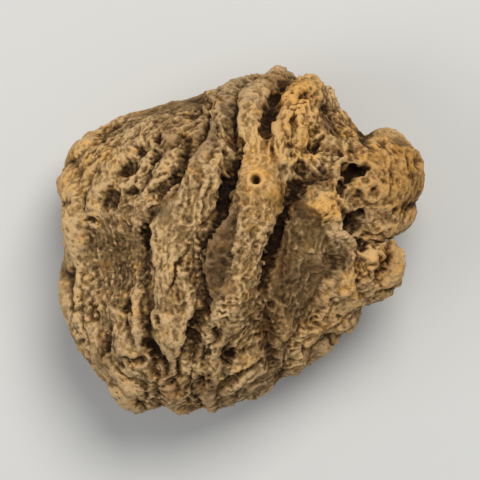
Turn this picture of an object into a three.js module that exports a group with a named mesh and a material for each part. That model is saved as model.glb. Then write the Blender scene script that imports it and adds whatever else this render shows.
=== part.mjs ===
// A dried jalap root: one hard, shrunken tuber about 44 mm across, lying on its flatter side.
// Deep folds run over it from the crown (+Y) to the tail (-Y), with dark furrows between them.
// Knobs and two rotted holes mark the old stem end at +X, and a smooth sunken cheek lies beside them.
// Millimetres, +Z up. The origin is under the middle of the root, on the surface that it rests on.
import * as THREE from "three";
import { mergeVertices } from "three/addons/utils/BufferGeometryUtils.js";

// Driving sizes
const CENTRE_HEIGHT = 12.0; // the widest level above the resting surface
const TOP_HEIGHT = 13.3; // from the widest level to the top, before the folds
const UNDER_HEIGHT = 11.2; // from the widest level to the underside, before the folds
const FULLNESS = 0.94; // below 1 the flanks stand steeper than an ellipsoid's
const BARK_INSET = 1.3; // the plain body's outline lies this far inside the folds' crests
const BODY_SHIFT = [0.2, 0.2]; // centres the finished root over the origin
const FACET_ROWS = 24; // triangle rows on each of the 20 faces of the starting icosahedron
const UPPER_BIAS = 0.25; // above 0 more of the facets go on the upper side, where the folds are deepest

// The silhouette from above, point by point round the root, with its knobs and notches
const OUTLINE = [
  [22.0, 8.2], [19.8, 13.0], [15.4, 14.0], [12.4, 16.6], [10.2, 19.4], [5.0, 21.2],
  [-1.0, 19.4], [-4.4, 17.4], [-8.4, 17.8], [-12.4, 16.2], [-17.2, 13.4], [-20.5, 10.3],
  [-21.9, 3.3], [-22.0, -1.8], [-21.7, -6.8], [-20.8, -11.8], [-17.2, -18.2], [-13.4, -21.0],
  [-8.6, -21.0], [-1.9, -21.2], [3.9, -17.7], [7.3, -14.8], [11.2, -11.8], [14.9, -9.3],
  [18.3, -6.8], [19.3, -3.8], [18.3, -0.2], [20.6, 4.2],
];

// Folds. Each has its crest's path from above, its half-width at both ends and the middle, and its height.
// A place past the silhouette is wrapped round the edge onto the underside.
const FOLDS = [
  // the left flank's rim, from the shoulder down to the tail
  { halves: [1.4, 1.9, 1.6], rise: 1.3, path: [[-7.2, 17.0], [-11.8, 15.4], [-16.4, 12.8], [-19.6, 9.4],
    [-21.0, 4.6], [-21.1, -0.6], [-20.4, -5.6], [-19.6, -9.6], [-18.2, -13.6], [-15.8, -17.2], [-12.0, -20.6],
    [-8.0, -24.0]] },
  // shoulder folds that follow the rim
  { halves: [1.0, 1.4, 1.0], rise: 1.0, path: [[-19.2, 5.4], [-17.2, 9.8], [-14.6, 12.3], [-11.5, 14.0],
    [-8.3, 14.8]] },
  { halves: [1.0, 1.4, 1.0], rise: 1.0, path: [[-18.2, 0.8], [-17.1, 5.0], [-15.2, 8.8], [-12.6, 10.8],
    [-9.0, 12.8]] },
  { halves: [1.0, 1.5, 1.2], rise: 1.2, path: [[-13.2, -0.4], [-12.2, 2.4], [-11.0, 4.6], [-9.1, 7.6],
    [-7.4, 10.3], [-6.8, 12.6]] },
  // lower flank folds, towards the tail
  { halves: [1.0, 1.3, 1.0], rise: 0.8, path: [[-18.2, -8.0], [-17.2, -12.2], [-15.0, -15.8], [-12.2, -18.4]] },
  { halves: [1.0, 1.3, 1.0], rise: 0.8, path: [[-15.0, -8.8], [-14.2, -12.0], [-12.6, -15.0], [-10.6, -17.6]] },
  { halves: [0.9, 1.2, 0.9], rise: 0.9, path: [[-12.9, -4.4], [-12.9, -7.2], [-12.6, -9.8], [-11.7, -12.6]] },
  // the broad left fold, from the crown to the tail
  { halves: [1.6, 3.4, 1.6], rise: 1.5, path: [[5.0, 24.0], [2.6, 20.6], [-1.0, 18.0], [-3.0, 15.8],
    [-4.0, 12.7], [-4.6, 9.6], [-6.0, 6.2], [-7.8, 3.0], [-8.8, -0.2], [-8.7, -3.4], [-8.4, -6.8],
    [-8.8, -10.0], [-8.5, -13.2], [-7.8, -16.2], [-6.9, -20.0], [-6.2, -26.0]] },
  // the high middle fold
  { halves: [1.4, 3.0, 1.4], rise: 1.6, path: [[6.6, 24.0], [4.8, 20.2], [3.2, 18.8], [1.8, 17.2], [1.3, 15.2],
    [1.5, 12.6], [2.0, 9.2], [1.9, 6.2], [1.5, 2.8], [1.0, -0.6], [0.0, -3.8], [-1.3, -6.8], [-2.0, -9.4],
    [-3.0, -12.4], [-4.0, -15.4], [-4.8, -19.0], [-5.2, -24.5]] },
  // crown folds
  { halves: [1.2, 1.5, 1.2], rise: 1.4, path: [[5.6, 15.4], [4.6, 12.8], [4.4, 10.2], [5.0, 8.0]] },
  { halves: [1.2, 1.4, 1.2], rise: 1.2, path: [[7.8, 15.6], [7.2, 13.2], [6.8, 10.6]] },
  { halves: [1.2, 1.5, 1.2], rise: 1.3, path: [[7.2, 23.5], [7.4, 20.2], [9.9, 19.0], [11.2, 17.0],
    [12.5, 15.0], [14.4, 13.0]] },
  { halves: [1.1, 1.4, 1.1], rise: 1.0, path: [[9.2, 14.4], [9.6, 12.2], [11.6, 10.8], [14.0, 11.0]] },
  // the curl that borders the sunken cheek on the right
  { halves: [1.2, 1.7, 1.3], rise: 1.5, path: [[10.8, 3.4], [11.7, 0.6], [13.2, -1.8], [13.3, -4.2],
    [12.1, -6.4], [10.4, -8.6], [7.2, -11.0]] },
  // the lower right rim
  { halves: [1.3, 1.9, 1.4], rise: 1.2, path: [[16.4, -8.0], [12.6, -10.2], [9.6, -12.4], [7.0, -14.2],
    [4.2, -16.8], [0.4, -19.6], [-2.4, -24.5]] },
  // slanting folds by the tail
  { halves: [1.0, 1.3, 1.0], rise: 0.9, path: [[-2.8, -16.4], [0.0, -14.8], [2.6, -13.2]] },
  { halves: [1.0, 1.3, 1.0], rise: 0.9, path: [[-2.2, -19.0], [0.8, -16.8], [3.4, -14.8]] },
  { halves: [1.0, 1.4, 1.0], rise: 0.8, path: [[4.2, -8.6], [5.0, -10.8], [6.6, -12.4]] },
];

// Knobs stand out and hollows sink in. Each has its middle from above, its radii, its turn and its rise.
const LUMPS = [
  { at: [17.4, 8.2], radii: [4.4, 4.2], turn: 0, rise: 1.6 }, // the round knob at the right
  { at: [16.4, -4.6], radii: [2.8, 3.0], turn: 0, rise: 1.4 }, // the small knob under it
  { at: [7.4, 17.2], radii: [1.9, 2.4], turn: -30, rise: 1.5 }, // the bright knob at the crown
  { at: [10.1, 5.0], radii: [2.0, 1.8], turn: 0, rise: 1.4 }, // the knob over the cheek
  { at: [8.6, -3.4], radii: [4.0, 6.2], turn: -8, rise: -1.9 }, // the sunken cheek
  { at: [-15.9, -3.2], radii: [3.2, 7.4], turn: 4, rise: -1.2 }, // the flank's shallow dish
  { at: [11.2, 15.2], radii: [1.4, 2.2], turn: 30, rise: -1.0 }, // the dark pocket at the crown
  { at: [-4.6, -13.4], radii: [1.6, 2.6], turn: 10, rise: -0.8 }, // the pocket over the tail
];

// Furrows between the folds: the path of the bottom, the half-width and the depth
const FURROWS = [
  { half: 1.6, depth: 1.2, path: [[-6.2, 8.8], [-7.9, 6.8], [-10.2, 3.4], [-11.6, 0.6], [-12.0, -3.0],
    [-11.8, -6.6], [-11.4, -10.0], [-10.4, -13.4], [-8.8, -17.2]] },
  { half: 1.8, depth: 1.9, path: [[1.8, 19.2], [-0.1, 17.0], [-0.6, 14.0], [-0.8, 10.6], [-1.2, 7.6],
    [-2.4, 4.0], [-3.6, 0.8], [-4.5, -2.0], [-4.8, -5.2], [-5.0, -8.6], [-6.1, -11.8], [-6.2, -15.6]] },
  { half: 1.9, depth: 2.1, path: [[9.0, 8.8], [7.2, 7.6], [5.6, 5.8], [4.8, 2.8], [4.2, -0.4], [3.4, -3.6],
    [2.6, -7.0], [1.6, -10.2], [0.8, -12.6]] },
  { half: 1.4, depth: 1.3, path: [[6.2, 19.8], [4.5, 18.0], [3.5, 15.6], [3.2, 13.2]] },
  { half: 1.6, depth: 1.2, path: [[20.5, 0.6], [17.4, 0.6], [15.2, 0.2], [13.4, 1.4]] },
  { half: 1.4, depth: 1.0, path: [[16.0, 15.5], [14.9, 13.4], [14.2, 11.4], [13.4, 9.0]] },
  { half: 1.5, depth: 1.0, path: [[-4.6, -16.4], [-5.6, -20.2], [-5.8, -23.0]] },
];

// Holes: the middle from above, the radius and the depth
const HOLES = [
  { at: [13.3, 8.0], radius: 1.6, depth: 2.4 },
  { at: [13.2, 2.7], radius: 1.6, depth: 2.4 },
];

// The underside's folds run from tail to crown by a rule, closer set towards the edges
const UNDER_FOLDS = 11;
const UNDER_HALVES = [1.3, 2.8, 1.3];
const UNDER_RISE = 1.6;
const UNDER_REACH = [-21.5, 18.5]; // the underside's edges, measured half way between the tail and the crown
const TAIL = [-5.4, -19.6];
const CROWN = [5.0, 19.6];
const UNDER_WANDER = 1.0; // how far a fold strays sideways

// Slow swellings of the whole body: a wave's X, Y and Z in radians per mm, its phase and its height
const SWELLINGS = [
  [0.31, 0.12, 0.2, 0.4, 0.35],
  [-0.14, 0.36, 0.17, 1.9, 0.35],
  [0.22, -0.27, 0.41, 3.3, 0.3],
  [0.62, 0.31, -0.28, 5.1, 0.2],
  [-0.45, 0.68, 0.33, 2.4, 0.2],
];

const CURVE_STEP = 0.7; // spacing of the points that distances to a path are measured from
const END_FADE = 0.6; // how soon a fold or furrow fades towards its ends: nearer 0 is later
const BLEND_POWER = 4; // how crisply neighbouring folds meet: higher is crisper

// The plain body's reach from the middle at any bearing, as a table of even steps
const BEARINGS = 720;
const reachTable = (() => {
  const ring = new THREE.CatmullRomCurve3(
    OUTLINE.map(([x, y]) => new THREE.Vector3(x, y, 0)), true, "catmullrom", 0.5,
  ).getPoints(BEARINGS * 2);
  const polar = ring
    .slice(1)
    .map((p) => ({ bearing: Math.atan2(p.y, p.x), reach: Math.hypot(p.x, p.y) - BARK_INSET }))
    .sort((a, b) => a.bearing - b.bearing);
  return Array.from({ length: BEARINGS }, (_, i) => {
    const bearing = -Math.PI + (2 * Math.PI * i) / BEARINGS;
    return (polar.find((p) => p.bearing >= bearing) ?? polar[0]).reach;
  });
})();

function reachAt(bearing) {
  const place = ((bearing + Math.PI) / (2 * Math.PI)) * BEARINGS;
  const low = Math.floor(place);
  const share = place - low;
  return reachTable[low % BEARINGS] * (1 - share) + reachTable[(low + 1) % BEARINGS] * share;
}

// The plain body's point for a direction from its middle
function bodyPoint(direction) {
  const reach = reachAt(Math.atan2(direction.y, direction.x));
  const half = direction.z > 0 ? TOP_HEIGHT : UNDER_HEIGHT;
  const lift = Math.sign(direction.z) * half * Math.abs(direction.z) ** FULLNESS;
  return new THREE.Vector3(direction.x * reach, direction.y * reach, lift);
}

// The plain body's point over (side 1) or under (side -1) a place seen from above
function bodyPointAt([x, y], side) {
  const reach = reachAt(Math.atan2(y, x));
  const share = Math.hypot(x, y) / reach;
  if (share > 1) {
    const wrapped = (2 - share) / share;
    return bodyPointAt([x * wrapped, y * wrapped], -side);
  }
  const half = side > 0 ? TOP_HEIGHT : UNDER_HEIGHT;
  return new THREE.Vector3(x, y, side * half * Math.sqrt(1 - share * share) ** FULLNESS);
}

// A path from above as evenly spaced points on the plain body
function laidPath(path, side) {
  const plan = new THREE.CatmullRomCurve3(
    path.map(([x, y]) => new THREE.Vector3(x, y, 0)), false, "catmullrom", 0.5,
  );
  const fine = plan.getPoints(path.length * 24).map((p) => bodyPointAt([p.x, p.y], side));
  const laid = new THREE.CurvePath();
  fine.slice(1).forEach((p, i) => laid.add(new THREE.LineCurve3(fine[i], p)));
  return laid.getSpacedPoints(Math.max(2, Math.round(laid.getLength() / CURVE_STEP)));
}

function underFold(index) {
  const turn = (Math.PI * (index + 0.5)) / UNDER_FOLDS;
  const middle = THREE.MathUtils.lerp(UNDER_REACH[0], UNDER_REACH[1], (1 - Math.cos(turn)) / 2);
  const path = [0, 0.2, 0.4, 0.6, 0.8, 1].map((t) => {
    const bow = Math.sin(Math.PI * t) ** 0.7;
    const stray = UNDER_WANDER * bow * Math.sin(7 * t + 2.3 * index);
    return [
      THREE.MathUtils.lerp(TAIL[0], CROWN[0], t) * (1 - bow) + middle * bow + stray,
      THREE.MathUtils.lerp(TAIL[1], CROWN[1], t),
    ];
  });
  return { halves: UNDER_HALVES, rise: UNDER_RISE, path, side: -1 };
}

const folds = [...FOLDS, ...Array.from({ length: UNDER_FOLDS }, (_, i) => underFold(i))].map(
  (fold) => ({ ...fold, points: laidPath(fold.path, fold.side ?? 1) }),
);
const furrows = FURROWS.map((furrow) => ({ ...furrow, points: laidPath(furrow.path, 1) }));
const lumps = LUMPS.map((lump) => ({ ...lump, middle: bodyPointAt(lump.at, 1) }));
const holes = HOLES.map((hole) => ({ ...hole, middle: bodyPointAt(hole.at, 1) }));

// How far a point is from a path, how far along the path, 0 to 1, and the share left of its height there
function nearest(points, p) {
  let best = Infinity;
  let index = 0;
  points.forEach((q, i) => {
    const d = q.distanceToSquared(p);
    if (d < best) {
      best = d;
      index = i;
    }
  });
  const last = points.length - 1;
  const along = index / last;
  return { distance: Math.sqrt(best), along, fade: Math.sin(Math.PI * along) ** END_FADE };
}

// The half-width part of the way along a fold, through the values at its start, middle and end
function halfAt([start, middle, end], along) {
  return along < 0.5
    ? THREE.MathUtils.lerp(start, middle, THREE.MathUtils.smoothstep(along, 0, 0.5))
    : THREE.MathUtils.lerp(middle, end, THREE.MathUtils.smoothstep(along, 0.5, 1));
}

function lumpShare({ middle, radii, turn }, p) {
  const angle = THREE.MathUtils.degToRad(turn);
  const dx = p.x - middle.x;
  const dy = p.y - middle.y;
  const a = (dx * Math.cos(angle) + dy * Math.sin(angle)) / radii[0];
  const b = (-dx * Math.sin(angle) + dy * Math.cos(angle)) / radii[1];
  const c = (p.z - middle.z) / (2 * Math.min(...radii));
  return Math.exp(-(a * a + b * b + c * c));
}

// How far the bark stands out of the plain body at one of its points
function relief(p) {
  let raised = 0;
  for (const { points, halves, rise } of folds) {
    const { distance, along, fade } = nearest(points, p);
    const half = halfAt(halves, along);
    if (distance < half) raised += (rise * fade * (1 - (distance / half) ** 2)) ** BLEND_POWER;
  }
  let height = raised ** (1 / BLEND_POWER);
  for (const lump of lumps) height += lump.rise * lumpShare(lump, p);
  for (const { points, half, depth } of furrows) {
    const { distance, fade } = nearest(points, p);
    height -= depth * fade * Math.exp(-((distance / half) ** 2));
  }
  for (const { middle, radius, depth } of holes)
    height -= depth * Math.exp(-((p.distanceTo(middle) / radius) ** 4));
  for (const [x, y, z, phase, swell] of SWELLINGS)
    height += swell * Math.sin(x * p.x + y * p.y + z * p.z + phase);
  return height;
}

// A direction tipped downwards, so that more of them point at the upper side
function biased(direction) {
  const fromTop = Math.acos(THREE.MathUtils.clamp(direction.z, -1, 1));
  const tipped = fromTop - UPPER_BIAS * Math.sin(fromTop);
  const flat = Math.hypot(direction.x, direction.y) || 1;
  const spread = Math.sin(tipped) / flat;
  return new THREE.Vector3(direction.x * spread, direction.y * spread, Math.cos(tipped));
}

function rootGeometry() {
  const geometry = new THREE.IcosahedronGeometry(1, FACET_ROWS - 1);
  geometry.deleteAttribute("normal");
  geometry.deleteAttribute("uv");
  const skin = mergeVertices(geometry, 1e-4);
  const position = skin.getAttribute("position");
  const points = [];
  for (let i = 0; i < position.count; i += 1) {
    const direction = new THREE.Vector3().fromBufferAttribute(position, i).normalize();
    points.push(bodyPoint(biased(direction)));
    position.setXYZ(i, ...points[i]);
  }
  skin.computeVertexNormals();
  const normal = skin.getAttribute("normal");
  points.forEach((p, i) => {
    const out = new THREE.Vector3().fromBufferAttribute(normal, i).multiplyScalar(relief(p));
    const grown = p.clone().add(out);
    const z = Math.max(0, grown.z + CENTRE_HEIGHT); // a small flat spot, where the root rests
    position.setXYZ(i, grown.x + BODY_SHIFT[0], grown.y + BODY_SHIFT[1], z);
  });
  skin.computeVertexNormals();
  return skin;
}

const bark = new THREE.MeshStandardMaterial({ color: 0x8a6a40, roughness: 0.9, metalness: 0 });
const root = new THREE.Mesh(rootGeometry(), bark);
root.name = "jalap_root";

const part = new THREE.Group();
part.add(root);

export default part;
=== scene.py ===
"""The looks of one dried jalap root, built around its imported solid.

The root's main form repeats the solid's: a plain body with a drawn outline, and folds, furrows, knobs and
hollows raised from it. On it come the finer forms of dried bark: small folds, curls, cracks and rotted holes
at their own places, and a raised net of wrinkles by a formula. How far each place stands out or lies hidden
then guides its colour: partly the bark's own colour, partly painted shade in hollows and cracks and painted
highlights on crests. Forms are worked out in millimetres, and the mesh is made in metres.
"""

import logging
import math
from dataclasses import dataclass
from enum import Enum
from functools import cached_property

import bpy
import numpy as np
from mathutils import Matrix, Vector


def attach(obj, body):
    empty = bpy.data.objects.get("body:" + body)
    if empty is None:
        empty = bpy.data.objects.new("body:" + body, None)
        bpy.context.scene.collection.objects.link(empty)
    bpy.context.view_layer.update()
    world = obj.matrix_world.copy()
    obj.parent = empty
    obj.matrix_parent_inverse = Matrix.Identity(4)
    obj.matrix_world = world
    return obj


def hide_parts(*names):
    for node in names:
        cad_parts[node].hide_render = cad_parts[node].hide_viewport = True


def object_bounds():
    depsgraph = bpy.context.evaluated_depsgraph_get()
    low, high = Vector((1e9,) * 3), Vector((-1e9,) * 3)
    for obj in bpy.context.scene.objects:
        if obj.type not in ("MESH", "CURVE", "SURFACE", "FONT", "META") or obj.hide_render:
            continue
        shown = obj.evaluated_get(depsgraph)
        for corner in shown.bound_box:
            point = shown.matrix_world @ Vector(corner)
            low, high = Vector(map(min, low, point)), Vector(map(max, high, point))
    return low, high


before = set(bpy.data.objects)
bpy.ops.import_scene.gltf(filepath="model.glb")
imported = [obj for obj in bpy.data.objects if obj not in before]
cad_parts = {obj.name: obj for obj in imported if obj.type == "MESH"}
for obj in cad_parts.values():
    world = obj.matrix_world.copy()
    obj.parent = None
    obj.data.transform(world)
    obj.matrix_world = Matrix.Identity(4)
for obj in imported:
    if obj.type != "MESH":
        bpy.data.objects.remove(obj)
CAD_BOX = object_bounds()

LOG = logging.getLogger("jalap_root")
NODE = "jalap_root"
BODY = "root"
MM = 0.001
TINY = 1e-9
STEEP = 4.0
PATCH_EDGE = 3.0

Point = tuple[float, float]
Triple = tuple[float, float, float]
Colour = tuple[float, float, float, float]
Array = np.ndarray
Settings = dict[str, object]
Inputs = dict[str | int, object]


class Side(Enum):
    """Which side of the root a place seen from above lies on."""

    UPPER = 1
    UNDER = -1


def smoothstep(low: float, high: float, value: Array) -> Array:
    """Runs smoothly from 0 to 1.

    Args:
        low: Where it is 0. It may be the larger one.
        high: Where it is 1.
        value: The numbers to look up.

    Returns:
        A share from 0 to 1 for each number.
    """
    t = np.clip((value - low) / (high - low), 0.0, 1.0)
    return t * t * (3.0 - 2.0 * t)


def curve_points(points: list[Point], count: int, closed: bool = False) -> Array:
    """Points on a smooth curve through the given ones.

    Args:
        points: The places that the curve runs through, in order.
        count: How many even steps the curve is cut into.
        closed: Whether the curve runs back to its first point.

    Returns:
        The places on the curve, one a row.
    """
    given = np.asarray(points, float)
    if closed:
        padded = np.vstack([given[-1], given, given[:2]])
        spans = len(given)
    else:
        padded = np.vstack([2 * given[0] - given[1], given, 2 * given[-1] - given[-2]])
        spans = len(given) - 1
    place = np.linspace(0.0, spans, count + 1)
    index = np.minimum(place.astype(int), spans - 1)
    t = (place - index)[:, None]
    before, start, end, after = (padded[index + k] for k in range(4))
    return 0.5 * (
        2 * start
        + (end - before) * t
        + (2 * before - 5 * start + 4 * end - after) * t**2
        + (3 * start - before - 3 * end + after) * t**3
    )


def tapered(along: Array, power: float) -> Array:
    """The fade towards both ends of a path.

    Args:
        along: How far along the path each place is, from 0 to 1.
        power: How early the fade starts. A lower one keeps more of the height.

    Returns:
        1 half-way along and 0 at both ends.
    """
    return np.sin(np.pi * np.clip(along, 0, 1)) ** power


class Noise:
    """Seeded noise over space, the same on every run."""

    SIZE = 256
    GAIN = 1.6
    SHIFTS = np.array([[0.0, 0.0, 0.0], [31.7, 11.3, 5.9], [7.1, 47.9, 23.3]])

    def __init__(self, seed: int) -> None:
        """Draws the lattice's values.

        Args:
            seed: The number that the draw starts from.
        """
        draw = np.random.default_rng(seed)
        self.order = np.tile(draw.permutation(self.SIZE), 3)
        slopes = draw.normal(size=(self.SIZE, 3))
        self.slopes = slopes / np.linalg.norm(slopes, axis=1, keepdims=True)
        self.spots = draw.random((self.SIZE, 3))

    def _entry(self, cell: Array) -> Array:
        """The lattice entry of each cell."""
        x, y, z = (cell % self.SIZE).T
        return self.order[self.order[self.order[x] + y] + z]

    def smooth(self, places: Array) -> Array:
        """Gradient noise, from about -1 to 1.

        Args:
            places: One place a row, in lattice steps.

        Returns:
            One value for each place.
        """
        low = np.floor(places).astype(int)
        part = places - low
        ease = part**3 * (part * (part * 6 - 15) + 10)
        total = np.zeros(len(places))
        for corner in np.ndindex(2, 2, 2):
            step = np.array(corner)
            slope = self.slopes[self._entry(low + step)]
            share = np.prod(np.where(step, ease, 1 - ease), axis=1)
            total += share * np.einsum("ij,ij->i", slope, part - step)
        return self.GAIN * total

    def drift(self, places: Array) -> Array:
        """Three independent noises.

        Args:
            places: One place a row, in lattice steps.

        Returns:
            One vector for each place.
        """
        return np.stack([self.smooth(places + shift) for shift in self.SHIFTS], axis=1)

    def cells(self, places: Array) -> tuple[Array, Array]:
        """Cellular noise.

        Args:
            places: One place a row, in lattice steps.

        Returns:
            The distance to the nearest cell's middle, and that cell's own value from 0 to 1.
        """
        low = np.floor(places).astype(int)
        nearest = np.full(len(places), np.inf)
        value = np.zeros(len(places))
        for corner in np.ndindex(3, 3, 3):
            cell = low + np.array(corner) - 1
            entry = self._entry(cell)
            distance = np.linalg.norm(cell + self.spots[entry] - places, axis=1)
            closer = distance < nearest
            nearest[closer] = distance[closer]
            value[closer] = entry[closer] / self.SIZE
        return nearest, value


@dataclass(frozen=True)
class PlainBody:
    """The root without its bark's relief: a drawn outline from above and rounded heights."""

    outline: tuple[Point, ...] = (
        (22.0, 8.2), (19.8, 13.0), (15.4, 14.0), (12.4, 16.6), (10.2, 19.4), (5.0, 21.2),
        (-1.0, 19.4), (-4.4, 17.4), (-8.4, 17.8), (-12.4, 16.2), (-17.2, 13.4), (-20.5, 10.3),
        (-21.9, 3.3), (-22.0, -1.8), (-21.7, -6.8), (-20.8, -11.8), (-17.2, -18.2), (-13.4, -21.0),
        (-8.6, -21.0), (-1.9, -21.2), (3.9, -17.7), (7.3, -14.8), (11.2, -11.8), (14.9, -9.3),
        (18.3, -6.8), (19.3, -3.8), (18.3, -0.2), (20.6, 4.2),
    )
    inset: float = 1.3
    top_height: float = 13.3
    under_height: float = 11.2
    fullness: float = 0.94
    steps: int = 1440

    @cached_property
    def _reaches(self) -> tuple[Array, Array]:
        """The outline as seen from the middle.

        Returns:
            Bearings in rising order, and the outline's reach at each, less the inset.
        """
        ring = curve_points(list(self.outline), self.steps, closed=True)[1:]
        bearing = np.arctan2(ring[:, 1], ring[:, 0])
        order = np.argsort(bearing)
        return bearing[order], (np.hypot(*ring.T) - self.inset)[order]

    def reach(self, x: Array, y: Array) -> Array:
        """How far the plain body reaches at the bearings of some places.

        Args:
            x: The places' first coordinates.
            y: The places' second coordinates.

        Returns:
            One reach for each place.
        """
        bearing, reach = self._reaches
        return np.interp(np.arctan2(y, x), bearing, reach, period=2 * math.pi)

    def _lift(self, share: Array, upper: Array) -> Array:
        """The height over the widest level.

        Args:
            share: How much of the full height each place has before it is rounded.
            upper: Whether each place is on the upper side.

        Returns:
            One height for each place, below 0 on the underside.
        """
        half = np.where(upper, self.top_height, self.under_height)
        return np.where(upper, 1, -1) * half * share**self.fullness

    def around(self, directions: Array) -> Array:
        """The plain body's points for unit directions from its middle.

        Args:
            directions: One unit direction a row.

        Returns:
            The points in space, one a row.
        """
        x, y, z = directions.T
        reach = self.reach(x, y)
        return np.stack([x * reach, y * reach, self._lift(np.abs(z), z > 0)], axis=1)

    def over(self, plan: Array, side: Side = Side.UPPER) -> Array:
        """The plain body's points over or under places seen from above.

        Args:
            plan: The places, one a row. One past the outline is wrapped round the edge.
            side: The side that a place inside the outline lies on.

        Returns:
            The points in space, one a row.
        """
        share = np.hypot(*plan.T) / self.reach(*plan.T)
        past = share > 1
        wrapped = plan * np.where(past, (2 - share) / np.maximum(share, TINY), 1.0)[:, None]
        share = np.where(past, 2 - share, share)
        upper = past != (side is Side.UPPER)
        lift = self._lift(np.sqrt(np.maximum(1 - share**2, 0)), upper)
        return np.column_stack([wrapped, lift])


@dataclass(frozen=True)
class Route:
    """A path over the body, and what lies near it."""

    FINE_STEPS = 24
    BLOCK = 20000

    path: tuple[Point, ...]
    side: Side = Side.UPPER
    step: float = 0.3

    def points(self, body: PlainBody) -> Array:
        """Cuts the path into even steps.

        Args:
            body: The body that the path lies on.

        Returns:
            Evenly spaced points along the path on the body, one a row.
        """
        fine = body.over(curve_points(list(self.path), len(self.path) * self.FINE_STEPS), self.side)
        run = np.concatenate([[0], np.cumsum(np.linalg.norm(np.diff(fine, axis=0), axis=1))])
        places = np.linspace(0, run[-1], max(3, round(run[-1] / self.step) + 1))
        return np.stack([np.interp(places, run, column) for column in fine.T], axis=1)

    def near(self, body: PlainBody, places: Array, reach: float) -> tuple[Array, Array, Array]:
        """Finds the places near the path.

        Args:
            body: The body that the path lies on.
            places: Points in space, one a row.
            reach: How far from the path still counts.

        Returns:
            The indices of the near places, their distances from the path and how far along it they are,
            from 0 to 1.
        """
        line = self.points(body)
        boxed = (places > line.min(0) - reach) & (places < line.max(0) + reach)
        index = np.flatnonzero(boxed.all(axis=1))
        best = np.full(len(index), np.inf)
        along = np.zeros(len(index))
        here = places[index]
        squares = (line**2).sum(1)
        for block in np.array_split(np.arange(len(index)), len(index) // self.BLOCK + 1):
            p = here[block]
            closest = np.argmin(squares - 2 * p @ line.T, axis=1)
            for start in (closest - 1, closest):
                start = np.clip(start, 0, len(line) - 2)
                span = line[start + 1] - line[start]
                passed = np.einsum("ij,ij->i", p - line[start], span)
                t = np.clip(passed / np.einsum("ij,ij->i", span, span), 0, 1)
                distance = np.linalg.norm(p - line[start] - t[:, None] * span, axis=1)
                closer = distance < best[block]
                best[block] = np.where(closer, distance, best[block])
                along[block] = np.where(closer, (start + t) / (len(line) - 1), along[block])
        kept = best < reach
        return index[kept], best[kept], along[kept]


@dataclass(frozen=True)
class Fold:
    """A raised fold of bark: half-widths at its start, middle and end, its height and its path."""

    halves: Triple
    rise: float
    path: tuple[Point, ...]
    side: Side = Side.UPPER
    end_fade: float = 0.6

    def height(self, body: PlainBody, places: Array) -> Array:
        """The fold's height at each place.

        Args:
            body: The body that it lies on.
            places: The places to look up, one a row.

        Returns:
            One height for each place.
        """
        height = np.zeros(len(places))
        reach = max(self.halves)
        index, distance, along = Route(self.path, self.side).near(body, places, reach)
        start, middle, end = self.halves
        first = start + (middle - start) * smoothstep(0.0, 0.5, along)
        second = middle + (end - middle) * smoothstep(0.5, 1.0, along)
        half = np.where(along < 0.5, first, second)
        fade = tapered(along, self.end_fade)
        height[index] = self.rise * fade * np.maximum(1 - (distance / half) ** 2, 0)
        return height


@dataclass(frozen=True)
class Furrow:
    """A furrow or crack: its half-width, its depth and its path."""

    REACH = 2.6

    half: float
    depth: float
    path: tuple[Point, ...]
    side: Side = Side.UPPER
    end_fade: float = 0.6

    def height(self, body: PlainBody, places: Array) -> Array:
        """The furrow's height at each place, below 0.

        Args:
            body: The body that it lies on.
            places: The places to look up, one a row.

        Returns:
            One height for each place.
        """
        height = np.zeros(len(places))
        index, distance, along = Route(self.path, self.side).near(body, places, self.REACH * self.half)
        fade = tapered(along, self.end_fade)
        height[index] = -self.depth * fade * np.exp(-((distance / self.half) ** 2))
        return height


@dataclass(frozen=True)
class Lump:
    """A knob, or a hollow where rise is below 0. A higher edge makes its side steeper."""

    ROUND = 2.0

    at: Point
    radii: Point
    rise: float
    turn: float = 0.0
    edge: float = 2.0

    def share(self, body: PlainBody, places: Array) -> Array:
        """How far each place belongs to the lump.

        Args:
            body: The body that it lies on.
            places: The places to look up, one a row.

        Returns:
            A share from 0 to 1 for each place.
        """
        middle = body.over(np.array([self.at]))[0]
        x, y, z = (places - middle).T
        angle = math.radians(self.turn)
        a = (x * math.cos(angle) + y * math.sin(angle)) / self.radii[0]
        b = (y * math.cos(angle) - x * math.sin(angle)) / self.radii[1]
        upright = (3 if self.edge > self.ROUND else 2) * min(self.radii)
        c = z / upright
        return np.exp(-((a**2 + b**2 + c**2) ** (self.edge / 2)))

    def height(self, body: PlainBody, places: Array) -> Array:
        """The lump's height at each place.

        Args:
            body: The body that it lies on.
            places: The places to look up, one a row.

        Returns:
            One height for each place.
        """
        return self.rise * self.share(body, places)


def pit(at: Point, radii: Point, depth: float, turn: float = 0.0) -> Lump:
    """A hollow with steep sides.

    Args:
        at: Its middle, seen from above.
        radii: Its two radii.
        depth: How deep it is.
        turn: How far it is turned, in degrees.

    Returns:
        The hollow.
    """
    return Lump(at, radii, -depth, turn, STEEP)


@dataclass(frozen=True)
class Curl:
    """A small ring of raised bark round a pit."""

    SQUASH = (1, 1, 0.6)
    PIT_RADIUS = 0.65

    at: Point
    radius: float
    half: float = 0.35
    rise: float = 0.35
    pit: float = 0.5

    def height(self, body: PlainBody, places: Array) -> Array:
        """The ring's and the pit's height at each place.

        Args:
            body: The body that it lies on.
            places: The places to look up, one a row.

        Returns:
            One height for each place.
        """
        middle = body.over(np.array([self.at]))[0]
        distance = np.linalg.norm((places - middle) * self.SQUASH, axis=1)
        ring = np.exp(-(((distance - self.radius) / self.half) ** 2))
        inside = np.exp(-((distance / (self.PIT_RADIUS * self.radius)) ** 4))
        return self.rise * ring - self.pit * inside


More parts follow.
